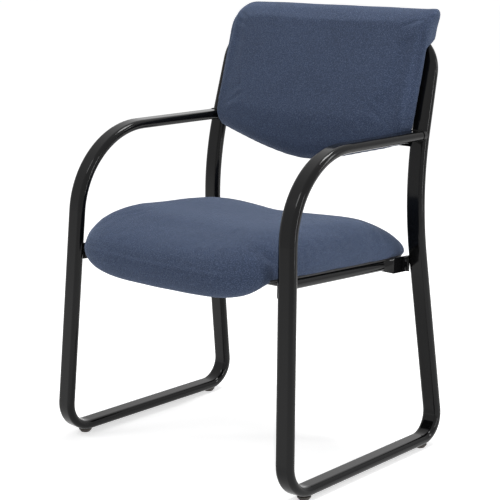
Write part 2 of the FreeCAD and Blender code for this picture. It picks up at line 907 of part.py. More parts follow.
def block(label, corners, low, high, placement, radius=0.0):
    """A prism used only to cut a space out of a soft piece, with its corners rounded."""
    points = [Vector(x, y, low) for x, y in corners]
    solid = Part.Face(Part.makePolygon(points + points[:1])).extrude(Vector(0, 0, high - low))
    if radius:
        solid = solid.makeFillet(radius, [edge for edge in solid.Edges if along(edge, Z_AXIS)])
    prism = doc.addObject("Part::Feature", label)
    prism.Shape = solid
    prism.Placement = placement
    return prism


def disc(label, spot, radius, low, high, placement):
    post = doc.addObject("Part::Cylinder", label)
    post.Radius = radius
    post.Height = high - low
    post.Placement = placement.multiply(Placement(Vector(spot.x, spot.y, low), Rotation()))
    return post


def line_edge(first, last):
    return Part.LineSegment(first, last).toShape()


STRAIGHT = 1e-3


def arc_edge(first, middle, last):
    """An arc through three points, or a line where they lie in a row."""
    bow = (middle - first).cross(last - first).Length / (last - first).Length
    if bow < STRAIGHT:
        return line_edge(first, last)
    return Part.Arc(first, middle, last).toShape()


def ease(value, start, end):
    """Rises smoothly from 0 at start to 1 at end."""
    share = min(1.0, max(0.0, (value - start) / (end - start)))
    return share * share * (3 - 2 * share)


def loft(label, wires):
    """A closed soft form through its sections."""
    soft = doc.addObject("Part::Feature", label)
    soft.Shape = Part.makeLoft(wires, True, False)
    return soft


clearance = size["clearance"]
cover = size["cover_thickness"]

# Levels above the top of the seat rails
panel_low = clearance
hem_low = panel_low + size["seat_panel_thickness"] + clearance
board_low = hem_low + cover + clearance
board_top = board_low + size["seat_board_thickness"]

# Seat cushion: its height at a place given as shares of the half width and half length

SEAT_STATIONS = (0.0, 0.28, 0.52, 0.7, 0.8, 0.86, 0.89, 0.92, 0.95, 0.98)
EDGE_ZONE = 0.3
CROWN_POWER = 0.63
DISH_WIDTH = 0.8
TUCK_ZONE = (0.88, 1.0)
ROLL_FADE_ZONE = (0.5, 0.9)
seat_half_width = (leg_line_x - size["seat_side_gap"]) / SEAT_STATIONS[-1]
seat_middle_y = (size["seat_rear"] - size["seat_front"]) / 2
seat_half_length = (size["seat_rear"] + size["seat_front"]) / 2


def seat_middle(along_share):
    """Height of the cushion's widest line."""
    fall = (along_share + 1) / 2
    slant = (size["seat_middle_rear"] - size["seat_middle_front"]) * fall
    level = size["seat_frame_height"] + size["seat_middle_front"] + slant
    front = max(0.0, -along_share - EDGE_ZONE) / (1 - EDGE_ZONE)
    rear = max(0.0, along_share - EDGE_ZONE) / (1 - EDGE_ZONE)
    return level - size["seat_front_drop"] * front ** 2 - size["seat_rear_drop"] * rear ** 2


def seat_squareness(along_share):
    if along_share < 0:
        return size["seat_front_squareness"]
    return size["seat_rear_squareness"]


def seat_fill(across_share, along_share):
    """1 well inside the outline, falling to 0 at it."""
    power = seat_squareness(along_share)
    reach = (abs(across_share) ** power + abs(along_share) ** power) ** (1 / power)
    if reach == 0:
        return 1.0
    sideways = across_share ** 2 / (across_share ** 2 + along_share ** 2)
    ends = size["seat_front_fullness"] if along_share < 0 else size["seat_rear_fullness"]
    fullness = size["seat_side_fullness"] * sideways + ends * (1 - sideways)
    return max(0.0, 1 - min(1.0, reach) ** fullness)


def seat_top(across_share, along_share):
    fill = seat_fill(across_share, along_share)
    dish = size["seat_dish"] * max(0.0, 1 - (across_share / DISH_WIDTH) ** 2)
    rise = size["seat_side_rise"] * abs(across_share) ** 3
    return seat_middle(along_share) + size["seat_crown"] * fill ** CROWN_POWER + (rise - dish) * fill


def seat_under(y):
    return seat_height(y) + hem_low


TOP_SHARES = (-1, -0.97, -0.9, -0.7, -0.4, -0.1, 0.2, 0.42, 0.62, 0.8, 0.92, 0.97, 1)
ROLL_LOWEST = 0.86
SWELL_BACK = 0.2
SWELL_UP = 0.35


def seat_section(across_share, inset):
    """The cushion's outline cut along the seat, all round smaller by an inset."""
    x = across_share * (seat_half_width - inset)
    half_length = seat_half_length - inset
    here = abs(across_share)
    front_power = size["seat_front_squareness"]
    rear_power = size["seat_rear_squareness"]
    front_reach = (1 - here ** front_power) ** (1 / front_power)
    rear_reach = (1 - here ** rear_power) ** (1 / rear_power)

    def share_of(k):
        return k * (front_reach if k < 0 else rear_reach)

    def place(share, z):
        return Vector(x, seat_middle_y + half_length * share, z)

    top = []
    for k in TOP_SHARES:
        share = share_of(k)
        shrink = inset if abs(k) < 1 else 0
        top.append(place(share, seat_top(across_share, share) - shrink))
    edges = [arc_edge(*top[n:n + 3]) for n in range(0, len(top) - 1, 2)]
    tuck = size["seat_side_tuck"] * ease(here, *TUCK_ZONE)
    fade = 1 - ease(here, *ROLL_FADE_ZONE)

    def under(point):
        return seat_under(point.y) + inset + tuck

    lip = size["seat_rear_lip"]
    rear_foot = top[-1] + Vector(0, -lip, 0)
    rear_foot.z = min(under(rear_foot), top[-1].z - lip)
    low_share = share_of(-ROLL_LOWEST)
    lowest = Vector(x, seat_middle_y + seat_half_length * low_share, 0)
    step = lowest + Vector(0, size["seat_roll_length"] - inset / 2, 0)
    step.z = under(step)
    deep = seat_middle(low_share) - size["seat_roll_depth"] * seat_fill(across_share, low_share) ** 0.5
    lowest.z = under(lowest) + fade * min(0.0, deep + 2 * inset - under(lowest))
    tip = top[0]
    swell_y = tip.y + SWELL_BACK * (lowest.y - tip.y)
    swell = Vector(x, swell_y, lowest.z + SWELL_UP * (tip.z - lowest.z))
    edges.append(line_edge(top[-1], rear_foot))
    edges.append(line_edge(rear_foot, step))
    edges.append(line_edge(step, lowest))
    edges.append(arc_edge(lowest, swell, tip))
    return Part.Wire(edges)


def mirrored_stations(stations):
    return [-share for share in reversed(stations[1:])] + list(stations)


def seat_form(label, inset):
    return loft(label, [seat_section(share, inset) for share in mirrored_stations(SEAT_STATIONS)])


seat_outer = seat_form("seat_cover_outer", 0.0)
seat_inner = seat_form("seat_cover_inner", cover)
seat_core = seat_form("seat_foam_core", cover + clearance)
seat_hem = size["seat_hem_width"]
hem_x = seat_half_width - seat_hem
hem_front = -size["seat_panel_front"] + seat_hem / 2
hem_rear = size["seat_rear"] - seat_hem
seat_opening = block(
    "seat_cover_opening",
    [(-hem_x, hem_front), (hem_x, hem_front), (hem_x, hem_rear), (-hem_x, hem_rear)],
    hem_low - cover,
    board_low,
    seat_plane,
)
seat_shell = cut("seat_cover_shell", seat_outer, seat_inner)
keep(cut("seat_cover", seat_shell, seat_opening), "seat_cover")

board_half_width = "(%r - Sizes.seat_board_side_inset)" % seat_half_width
board_front = "(Sizes.seat_board_front_inset - Sizes.seat_front)"
board_rear = "(Sizes.seat_rear - Sizes.seat_board_rear_inset)"
tee_hole = "Sizes.tee_barrel_diameter + Sizes.clearance"
seat_board = flat_plate(
    "seat_board",
    [
        ("-" + board_half_width, board_front),
        (board_half_width, board_front),
        (board_half_width, board_rear),
        ("-" + board_half_width, board_rear),
    ],
    repr(board_low),
    "Sizes.seat_board_thickness",
    [(spot.x, spot.y, tee_hole) for spot in seat_bolt_spots],
    ("Sizes.seat_board_corner", lambda edge: along(edge, Z_AXIS)),
)
seat_board.Placement = seat_plane

bolt_hole = "Sizes.bolt_diameter + Sizes.clearance"
panel_half_width = "(%r - Sizes.seat_panel_inset)" % seat_half_width
panel_rear = "(Sizes.seat_rear - Sizes.seat_panel_rear_inset)"
seat_panel = flat_plate(
    "seat_bottom_panel",
    [
        ("-" + panel_half_width, "-Sizes.seat_panel_front"),
        (panel_half_width, "-Sizes.seat_panel_front"),
        (panel_half_width, panel_rear),
        ("-" + panel_half_width, panel_rear),
    ],
    repr(panel_low),
    "Sizes.seat_panel_thickness",
    [(spot.x, spot.y, bolt_hole) for spot in seat_bolt_spots],
    ("Sizes.seat_board_corner / 2", lambda edge: along(edge, Z_AXIS)),
)
seat_panel.Placement = seat_plane

half_x = number(board_half_width) + clearance
front_y = number(board_front) - clearance
rear_y = number(board_rear) + clearance
seat_board_space = block(
    "seat_board_space",
    [(-half_x, front_y), (half_x, front_y), (half_x, rear_y), (-half_x, rear_y)],
    board_low - clearance,
    board_top + clearance,
    seat_plane,
    size["seat_board_corner"] + clearance,
)
flange_radius = size["tee_flange_diameter"] / 2 + clearance
flange_top = board_top + size["tee_flange_thickness"] + clearance
seat_spaces = [seat_board_space]
for index, spot in enumerate(seat_bolt_spots):
    seat_spaces.append(
        disc("seat_tee_space_%d" % index, spot, flange_radius, board_low, flange_top, seat_plane)
    )
keep(cut("seat_foam", seat_core, fuse("seat_foam_spaces", seat_spaces)), "seat_foam")

# Bolts, washers, spacers and tee nuts; each is turned about Z, with z = 0 under its head

def bolt(label, grip):
    """A pan head under z = 0 and a shank up to the grip."""
    head = "Sizes.bolt_head_diameter / 2"
    shank = "Sizes.bolt_diameter / 2"
    return turned_pin(
        label,
        [
            ("0", "-Sizes.bolt_head_height"),
            ("%s * %r" % (head, HEAD_FLAT), "-Sizes.bolt_head_height"),
            (head, "-Sizes.bolt_head_height * %r" % HEAD_EDGE),
            (head, "0"),
            (shank, "0"),
            (shank, repr(grip)),
            ("0", repr(grip)),
        ],
    )


def ring(label, outer_expression, low, high):
    """A washer or spacer round the bolt."""
    bore = "(Sizes.bolt_diameter + Sizes.clearance) / 2"
    return turned_pin(
        label,
        [
            (bore, repr(low)),
            (outer_expression, repr(low)),
            (outer_expression, repr(high)),
            (bore, repr(high)),
        ],
    )


def tee_nut(label, low, high):
    """A barrel through the board with a flange on the far face."""
    bore = "(Sizes.bolt_diameter + Sizes.clearance) / 2"
    barrel = "Sizes.tee_barrel_diameter / 2"
    flange = "Sizes.tee_flange_diameter / 2"
    top = high + size["tee_flange_thickness"]
    return turned_pin(
        label,
        [
            (bore, repr(low)),
            (barrel, repr(low)),
            (barrel, repr(high)),
            (flange, repr(high)),
            (flange, repr(top)),
            (bore, repr(top)),
        ],
    )


def fasten(plane, spots, level):
    return [plane.multiply(Placement(Vector(spot.x, spot.y, level), Rotation())) for spot in spots]


washer = size["washer_thickness"]
seat_bolt_level = -size["rail_diameter"] - washer
seat_bolt = bolt("seat_bolt", board_top - seat_bolt_level)
seat_washer = ring("seat_washer", "Sizes.washer_diameter / 2", 0.0, washer)
seat_tee = tee_nut("seat_tee_nut", board_low, board_top)
doc.recompute()
group_of("seat_bolts", seat_bolt, fasten(seat_plane, seat_bolt_spots, seat_bolt_level))
group_of("seat_washers", seat_washer, fasten(seat_plane, seat_bolt_spots, seat_bolt_level))
group_of("seat_tee_nuts", seat_tee, fasten(seat_plane, seat_bolt_spots, 0))

# Back: x across, y up the uprights from the knee, z forward of the tubes' middle

back_plane = Placement(knee, Rotation(X_AXIS, 90 - size["upright_lean"]))
half_tube = size["tube_thickness"] / 2
back_panel_low = half_tube + clearance
back_hem_low = back_panel_low + size["back_panel_thickness"] + clearance
back_board_low = back_hem_low + cover + clearance
back_board_top = back_board_low + size["back_board_thickness"]
roll_rear = -(half_tube + size["bolt_head_height"] + 2 * clearance + cover)


arm_joint = upright_point(arm_rise)
upright_inner_x = side_plane_x(arm_joint.y, arm_joint.z) - size["tube_width"] / 2
back_half_width = upright_inner_x + size["back_side_overlap"]


def corner_drop(x, radius):
    """How far a rounded corner has fallen from the straight edge."""
    past = abs(x) - (back_half_width - radius)
    if past <= 0:
        return 0.0
    return radius - math.sqrt(max(0.0, radius ** 2 - past ** 2))


def back_bottom(x):
    """The bottom edge, a soft point in the middle and rising to the sides."""
    nose = size["back_bottom_nose"]
    rise = size["back_bottom_slope"] * (math.hypot(x, nose) - nose)
    return back_bottom_rise + rise + corner_drop(x, size["back_lower_corner_radius"])


def back_top(x):
    return back_top_rise - corner_drop(x, size["back_corner_radius"])


def back_depth(x, rise):
    """How far the front stands forward of the tubes' middle."""
    above = max(0.0, rise - back_lumbar_rise)
    below = max(0.0, back_lumbar_rise - rise) / (back_lumbar_rise - back_bottom_rise)
    fall = size["back_lower_fall"] * below ** 2
    deep = size["back_lumbar_depth"] - size["back_taper"] * above - fall
    share = min(1.0, abs(x) / back_half_width)
    fill = (1 - share ** size["back_side_fullness"]) ** 0.5
    return size["back_side_depth"] + (deep - size["back_side_depth"]) * fill


BACK_STATIONS = (0.0, 0.3, 0.55, 0.75, 0.86, 0.93, 0.975, 1.0)
STEP_ZONE = (0.612, 0.959)
FOOT_SHARE = 0.04
FOOT_SWELL = (0.23, 0.6)
BROW_SWELL = (0.28, 0.62)
NAPE_SWELL = (0.285, 0.72)


def back_step(x):
    """Lower edge of the roll that wraps the hoop."""
    share = abs(x) / back_half_width
    rise = back_step_rise + size["back_step_side_rise"] * ease(share, *STEP_ZONE)
    return min(rise, back_top(x) - size["back_step_top_gap"])


def back_section(across_share, inset):
    """The cushion's outline cut up the back, all round smaller by an inset."""
    x = across_share * back_half_width
    low = back_bottom(x) + inset
    high = back_top(x) - inset
    rear = back_hem_low + inset
    shelf = back_step(x) + inset
    behind = roll_rear + inset

    def place(rise, depth):
        return back_plane.multVec(Vector(across_share * (back_half_width - inset), rise, depth))

    def front(rise):
        return place(rise, back_depth(x, rise) - inset)

    foot_height = size["back_foot_height"]
    start = low + foot_height
    end = high - size["back_roll_height"] + inset
    quarter = (end - start) / 4
    foot_depth = back_depth(x, start) - inset
    foot = place(low + FOOT_SHARE * foot_height, rear)
    foot_up, foot_out = FOOT_SWELL
    foot_bow = place(low + foot_up * foot_height, rear + foot_out * (foot_depth - rear))
    crest = place(high, size["back_crest_depth"])
    brow_down, brow_out = BROW_SWELL
    brow_depth = back_depth(x, end) - inset
    brow = place(high - brow_down * (high - end), brow_out * brow_depth)
    nape_drop = size["back_nape_drop"]
    nape = place(high - nape_drop, behind)
    nape_down, nape_out = NAPE_SWELL
    edges = [
        arc_edge(foot, foot_bow, front(start)),
        arc_edge(front(start), front(start + quarter), front(start + 2 * quarter)),
        arc_edge(front(start + 2 * quarter), front(start + 3 * quarter), front(end)),
        arc_edge(front(end), brow, crest),
        arc_edge(crest, place(high - nape_down * nape_drop, nape_out * behind), nape),
        line_edge(nape, place(shelf, behind)),
        line_edge(place(shelf, behind), place(shelf, rear)),
        line_edge(place(shelf, rear), foot),
    ]
    return Part.Wire(edges)


def back_form(label, inset):
    return loft(label, [back_section(share, inset) for share in mirrored_stations(BACK_STATIONS)])


def back_outline(inset, top_rise):
    """The back's outline drawn in by an inset, as corners for a flat plate."""
    side = back_half_width - inset
    nose = size["back_bottom_nose"]
    right = [(x, back_bottom(x) + inset) for x in (nose, 2 * nose, side - inset)]
    right.append((side, back_bottom(side) + inset))
    right.append((side, top_rise))
    left = [(-x, y) for x, y in reversed(right)]
    return [(0.0, back_bottom_rise + inset)] + right + left


back_outer = back_form("back_cover_outer", 0.0)
back_inner = back_form("back_cover_inner", cover)
back_core = back_form("back_foam_core", cover + clearance)
back_opening = block(
    "back_cover_opening",
    back_outline(size["back_hem_width"], back_step_rise - size["back_panel_inset"]),
    back_hem_low - clearance,
    back_board_low,
    back_plane,
)
back_shell = cut("back_cover_shell", back_outer, back_inner)
back_cover_spaces = fuse("back_cover_spaces", [back_opening, hoop_space])
keep(cut("back_cover", back_shell, back_cover_spaces), "back_cover")

bar_spots = []
hoop_spots = []
for way in (-1, 1):
    bar_spots.append(Vector(way * size["back_bolt_spread"], cross_bar_rise, 0))
    hoop_spots.append(Vector(way * size["back_bolt_spread"], hoop_top_rise, 0))


def as_expressions(points):
    return [(repr(x), repr(y)) for x, y in points]


back_board_top_rise = back_top_rise - size["back_board_top_inset"]
back_board = flat_plate(
    "back_board",
    as_expressions(back_outline(size["back_board_inset"], back_board_top_rise)),
    repr(back_board_low),
    "Sizes.back_board_thickness",
    [(spot.x, spot.y, tee_hole) for spot in bar_spots + hoop_spots],
    (
        "Sizes.back_board_corner",
        lambda edge: along(edge, Z_AXIS) and edge.CenterOfMass.y > back_board_top_rise - clearance,
    ),
)
back_board.Placement = back_plane

panel_top_rise = back_step_rise - size["back_panel_inset"] / 2
back_panel = flat_plate(
    "back_rear_panel",
    as_expressions(back_outline(size["back_panel_inset"], panel_top_rise)),
    repr(back_panel_low),
    "Sizes.back_panel_thickness",
    [(spot.x, spot.y, bolt_hole) for spot in bar_spots],
)
back_panel.Placement = back_plane

board_space = block(
    "back_board_space",
    back_outline(size["back_board_inset"] - clearance, back_board_top_rise + clearance),
    back_board_low - clearance,
    back_board_top + clearance,
    back_plane,
)
back_flange_top = back_board_top + size["tee_flange_thickness"] + clearance
back_spaces = [board_space, hoop_space]
for index, spot in enumerate(bar_spots + hoop_spots):
    back_spaces.append(
        disc("back_tee_space_%d" % index, spot, flange_radius, back_board_low, back_flange_top, back_plane)
    )
bolt_space_radius = size["washer_diameter"] / 2
for index, spot in enumerate(hoop_spots):
    back_spaces.append(
        disc(
            "hoop_bolt_space_%d" % index,
            spot,
            bolt_space_radius,
            roll_rear + cover,
            back_board_top,
            back_plane,
        )
    )
keep(cut("back_foam", back_core, fuse("back_foam_spaces", back_spaces)), "back_foam")


def bar_corner(side, rise):
    """Where the cross bar's end meets the upright's inner edge."""
    point = upright_point(rise)
    x = side_plane_x(point.y, point.z) - size["tube_width"] / 2 - clearance / 2
    return (side * x, rise)


bar_low = cross_bar_rise - size["cross_bar_height"] / 2
bar_high = cross_bar_rise + size["cross_bar_height"] / 2
cross_bar = flat_plate(
    "back_cross_bar",
    as_expressions(
        [bar_corner(-1, bar_low), bar_corner(1, bar_low), bar_corner(1, bar_high), bar_corner(-1, bar_high)]
    ),
    "-Sizes.cross_bar_thickness / 2",
    "Sizes.cross_bar_thickness",
    [(spot.x, spot.y, bolt_hole) for spot in bar_spots],
)
cross_bar.Placement = back_plane

hoop_holes = []
for index, spot in enumerate(hoop_spots):
    radius = (size["bolt_diameter"] + clearance) / 2
    hoop_holes.append(
        disc("hoop_hole_%d" % index, spot, radius, -size["tube_thickness"], half_tube * 2, back_plane)
    )
keep(cut("back_hoop", hoop_tube, fuse("hoop_holes", hoop_holes)), "back_hoop")

half_bar = size["cross_bar_thickness"] / 2
bar_bolt_level = -half_bar - washer
bar_bolt = bolt("bar_bolt", back_board_top - bar_bolt_level)
hoop_bolt = bolt("hoop_bolt", back_board_top + half_tube)
spacer_radius = "Sizes.spacer_diameter / 2"
bar_spacer = ring("bar_spacer", spacer_radius, half_bar, back_panel_low)
hoop_spacer = ring("hoop_spacer", spacer_radius, half_tube, back_board_low)
back_tee = tee_nut("back_tee_nut", back_board_low, back_board_top)
doc.recompute()
group_of("back_bar_bolts", bar_bolt, fasten(back_plane, bar_spots, bar_bolt_level))
group_of("back_bar_washers", seat_washer, fasten(back_plane, bar_spots, bar_bolt_level))
group_of("back_hoop_bolts", hoop_bolt, fasten(back_plane, hoop_spots, -half_tube))
group_of("back_bar_spacers", bar_spacer, fasten(back_plane, bar_spots, 0))
group_of("back_hoop_spacers", hoop_spacer, fasten(back_plane, hoop_spots, 0))
group_of("back_tee_nuts", back_tee, fasten(back_plane, bar_spots + hoop_spots, 0))

doc.recompute()

faults = []
for thing in doc.Objects:
    if "Invalid" in thing.State or "Error" in thing.State:
        faults.append("%s: %s" % (thing.Name, thing.State))
for thing in keepers:
    if thing.Shape.isNull() or not thing.Shape.isValid() or thing.Shape.Volume <= 0:
        faults.append("%s: bad shape" % thing.Label)
if faults:
    raise RuntimeError("; ".join(faults))
for thing in keepers:
    thing.Shape.exportStep("parts/%s.step" % thing.Label)
    print(thing.Label, len(thing.Shape.Solids), "solids", round(thing.Shape.Volume), "mm3")
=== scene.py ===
import math

import bmesh
import bpy
import numpy as np
from mathutils import Matrix, Vector, noise


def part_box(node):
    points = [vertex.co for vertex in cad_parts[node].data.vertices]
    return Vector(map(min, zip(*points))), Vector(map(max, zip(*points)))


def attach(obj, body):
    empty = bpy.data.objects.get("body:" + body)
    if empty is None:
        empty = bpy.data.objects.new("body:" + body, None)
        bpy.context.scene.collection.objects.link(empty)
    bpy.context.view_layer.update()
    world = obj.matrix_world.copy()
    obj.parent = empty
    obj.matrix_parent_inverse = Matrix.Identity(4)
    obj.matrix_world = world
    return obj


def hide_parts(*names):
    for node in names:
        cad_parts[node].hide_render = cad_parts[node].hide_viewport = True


# A visitor chair on a sled base: the black tube frame comes from the CAD, and this script
# makes the upholstery, the small hardware and the finishes. Metres, +Z up, the floor at z = 0.

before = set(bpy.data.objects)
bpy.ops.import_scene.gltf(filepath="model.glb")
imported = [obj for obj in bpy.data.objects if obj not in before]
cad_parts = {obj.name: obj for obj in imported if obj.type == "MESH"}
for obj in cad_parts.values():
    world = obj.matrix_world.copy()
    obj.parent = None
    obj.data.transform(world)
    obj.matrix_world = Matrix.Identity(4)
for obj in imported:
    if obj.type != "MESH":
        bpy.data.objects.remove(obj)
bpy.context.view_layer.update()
scene = bpy.context.scene
SEED = 7


# small helpers

def colour(red, green, blue):
    """A screen colour, 0 to 255, as the linear colour a shader takes."""
    linear = []
    for channel in (red, green, blue):
        value = channel / 255
        linear.append(value / 12.92 if value <= 0.04045 else ((value + 0.055) / 1.055) ** 2.4)
    return (*linear, 1.0)


def ease(value, start, end):
    """Rises smoothly from 0 at start to 1 at end; works on numbers and on arrays."""
    share = np.clip((value - start) / (end - start), 0.0, 1.0)
    return share * share * (3 - 2 * share)


def hill(distance, width):
    """A soft bump, 1 in the middle."""
    return np.exp(-((distance / width) ** 2))


def solid_object(name, points, faces):
    mesh = bpy.data.meshes.new(name)
    mesh.from_pydata([tuple(point) for point in points], [], [tuple(face) for face in faces])
    mesh.validate()
    mesh.update()
    piece = bpy.data.objects.new(name, mesh)
    scene.collection.objects.link(piece)
    return piece


def outward_and_merged(piece, gap=1e-6):
    """Joins doubled points and turns every face outwards."""
    work = bmesh.new()
    work.from_mesh(piece.data)
    bmesh.ops.remove_doubles(work, verts=work.verts, dist=gap)
    bmesh.ops.recalc_face_normals(work, faces=work.faces)
    work.to_mesh(piece.data)
    work.free()
    piece.data.update()


def shade_smooth(piece):
    piece.data.polygons.foreach_set("use_smooth", [True] * len(piece.data.polygons))


def coordinates(mesh):
    flat = np.empty(len(mesh.vertices) * 3)
    mesh.vertices.foreach_get("co", flat)
    return flat.reshape(-1, 3)


def normals(mesh):
    flat = np.empty(len(mesh.vertices) * 3)
    mesh.vertices.foreach_get("normal", flat)
    return flat.reshape(-1, 3)


def place_points(mesh, points):
    mesh.vertices.foreach_set("co", np.asarray(points, dtype=float).ravel())
    mesh.update()


def evaluated_copy(piece):
    graph = bpy.context.evaluated_depsgraph_get()
    return bpy.data.meshes.new_from_object(piece.evaluated_get(graph))


# shader groups

class Nodes:
    """Adds and links nodes in one tree."""

    def __init__(self, tree):
        self.tree = tree
        self.count = 0

    def add(self, kind, **settings):
        node = self.tree.nodes.new(kind)
        node.location = (200 * (self.count % 8), -240 * (self.count // 8))
        self.count += 1
        for key, value in settings.items():
            setattr(node, key, value)
        return node

    def feed(self, socket, source):
        if isinstance(source, bpy.types.NodeSocket):
            self.tree.links.new(source, socket)
        else:
            socket.default_value = source

    def maths(self, operation, first, second=None, clamp=False):
        node = self.add("ShaderNodeMath", operation=operation, use_clamp=clamp)
        self.feed(node.inputs[0], first)
        if second is not None:
            self.feed(node.inputs[1], second)
        return node.outputs[0]

    def blend(self, share, first, second, kind="RGBA", mode="MIX"):
        node = self.add("ShaderNodeMix", data_type=kind)
        if kind == "RGBA":
            node.blend_type = mode
        start = {"FLOAT": 2, "VECTOR": 4, "RGBA": 6}[kind]
        self.feed(node.inputs[0], share)
        self.feed(node.inputs[start], first)
        self.feed(node.inputs[start + 1], second)
        return node.outputs[{"FLOAT": 0, "VECTOR": 1, "RGBA": 2}[kind]]

    def spread(self, value, low, high, to_low=0.0, to_high=1.0):
        node = self.add("ShaderNodeMapRange")
        self.feed(node.inputs["Value"], value)
        self.feed(node.inputs["From Min"], low)
        self.feed(node.inputs["From Max"], high)
        self.feed(node.inputs["To Min"], to_low)
        self.feed(node.inputs["To Max"], to_high)
        return node.outputs["Result"]

    def mottle(self, vector, scale, detail=2.0, roughness=0.5):
        node = self.add("ShaderNodeTexNoise")
        self.feed(node.inputs["Vector"], vector)
        self.feed(node.inputs["Scale"], scale)
        self.feed(node.inputs["Detail"], detail)
        self.feed(node.inputs["Roughness"], roughness)
        return node.outputs["Fac"]


def shader_group(name, inputs, outputs):
    """A node group with named sockets, and the helper that fills it."""
    tree = bpy.data.node_groups.new(name, "ShaderNodeTree")
    for label, kind, value in inputs:
        socket = tree.interface.new_socket(label, in_out="INPUT", socket_type=kind)
        if value is not None:
            socket.default_value = value
    for label, kind in outputs:
        tree.interface.new_socket(label, in_out="OUTPUT", socket_type=kind)
    nodes = Nodes(tree)
    entry = nodes.add("NodeGroupInput")
    leave = nodes.add("NodeGroupOutput")
    return tree, nodes, entry.outputs, leave.inputs


FLOAT = "NodeSocketFloat"
COLOUR = "NodeSocketColor"
VECTOR = "NodeSocketVector"


def thread_crossing_group():
    """Plain weave on two coordinates: how high the top thread stands."""
    tree, nodes, given, result = shader_group(
        "thread_crossing",
        [("Across", FLOAT, 0.0), ("Along", FLOAT, 0.0), ("Threads per metre", FLOAT, 900.0)],
        [("Height", FLOAT)],
    )
    rate = nodes.maths("MULTIPLY", given["Threads per metre"], math.pi)
    warp = nodes.maths("SINE", nodes.maths("MULTIPLY", given["Across"], rate))
    weft = nodes.maths("SINE", nodes.maths("MULTIPLY", given["Along"], rate))
    over = nodes.maths("GREATER_THAN", nodes.maths("MULTIPLY", warp, weft), 0.0)
    warp_round = nodes.maths("POWER", nodes.maths("ABSOLUTE", warp), 0.6)
    weft_round = nodes.maths("POWER", nodes.maths("ABSOLUTE", weft), 0.6)
    height = nodes.blend(over, warp_round, weft_round, kind="FLOAT")
    nodes.feed(result["Height"], height)
    return tree


def woven_cloth_group(crossing):
    """Fine two-tone upholstery cloth, the same on every side of a cushion."""
    tree, nodes, given, result = shader_group(
        "woven_cloth",
        [
            ("Position", VECTOR, None),
            ("Facing", VECTOR, None),
            ("Threads per metre", FLOAT, 900.0),
            ("Ground", COLOUR, (0.06, 0.08, 0.13, 1)),
            ("Fleck", COLOUR, (0.1, 0.13, 0.2, 1)),
            ("Shade", COLOUR, (0.03, 0.04, 0.07, 1)),
            ("Ribs per metre", FLOAT, 330.0),
        ],
        [("Colour", COLOUR), ("Height", FLOAT), ("Roughness", FLOAT)],
    )
    place = nodes.add("ShaderNodeSeparateXYZ")
    nodes.feed(place.inputs[0], given["Position"])
    facing = nodes.add("ShaderNodeSeparateXYZ")
    nodes.feed(facing.inputs[0], given["Facing"])
    pairs = (("Y", "Z", "X"), ("X", "Z", "Y"), ("X", "Y", "Z"))
    total = 1e-4
    height = 0.0
    ribs = 0.0
    rib_rate = nodes.maths("MULTIPLY", given["Ribs per metre"], 2 * math.pi)
    for first, second, away in pairs:
        weave = nodes.add("ShaderNodeGroup", node_tree=crossing)
        nodes.feed(weave.inputs["Across"], place.outputs[first])
        nodes.feed(weave.inputs["Along"], place.outputs[second])
        nodes.feed(weave.inputs["Threads per metre"], given["Threads per metre"])
        weight = nodes.maths("POWER", nodes.maths("ABSOLUTE", facing.outputs[away]), 6.0)
        height = nodes.maths("ADD", height, nodes.maths("MULTIPLY", weight, weave.outputs["Height"]))
        diagonal = nodes.maths("ADD", place.outputs[first], place.outputs[second])
        rib = nodes.maths("SINE", nodes.maths("MULTIPLY", diagonal, rib_rate))
        ribs = nodes.maths("ADD", ribs, nodes.maths("MULTIPLY", weight, rib))
        total = nodes.maths("ADD", total, weight)
    threads = nodes.maths("DIVIDE", height, total)
    ribs = nodes.maths("DIVIDE", ribs, total)
    flecks = nodes.mottle(given["Position"], 620.0, 2.0, 0.6)
    heather = nodes.spread(flecks, 0.48, 0.66)
    slubs = nodes.mottle(given["Position"], 150.0, 3.0, 0.6)
    clouds = nodes.mottle(given["Position"], 9.0, 2.0, 0.5)
    tone = nodes.blend(heather, given["Ground"], given["Fleck"])
    deep = nodes.spread(threads, 0.25, 0.75, 0.75, 0.0)
    tone = nodes.blend(deep, tone, given["Shade"])
    slubby = nodes.spread(slubs, 0.3, 0.7, 0.9, 1.1)
    cloudy = nodes.spread(clouds, 0.3, 0.7, -0.05, 0.05)
    uneven = nodes.maths("ADD", slubby, cloudy)
    uneven = nodes.maths("ADD", uneven, nodes.maths("MULTIPLY", ribs, 0.07))
    brighter = nodes.add("ShaderNodeVectorMath", operation="SCALE")
    nodes.feed(brighter.inputs[0], tone)
    nodes.feed(brighter.inputs["Scale"], uneven)
    nodes.feed(result["Colour"], brighter.outputs[0])
    fuzz = nodes.maths("MULTIPLY", flecks, 0.5)
    nodes.feed(result["Height"], nodes.maths("ADD", threads, fuzz))
    nodes.feed(result["Roughness"], nodes.spread(slubs, 0.3, 0.7, 0.82, 0.95))
    return tree


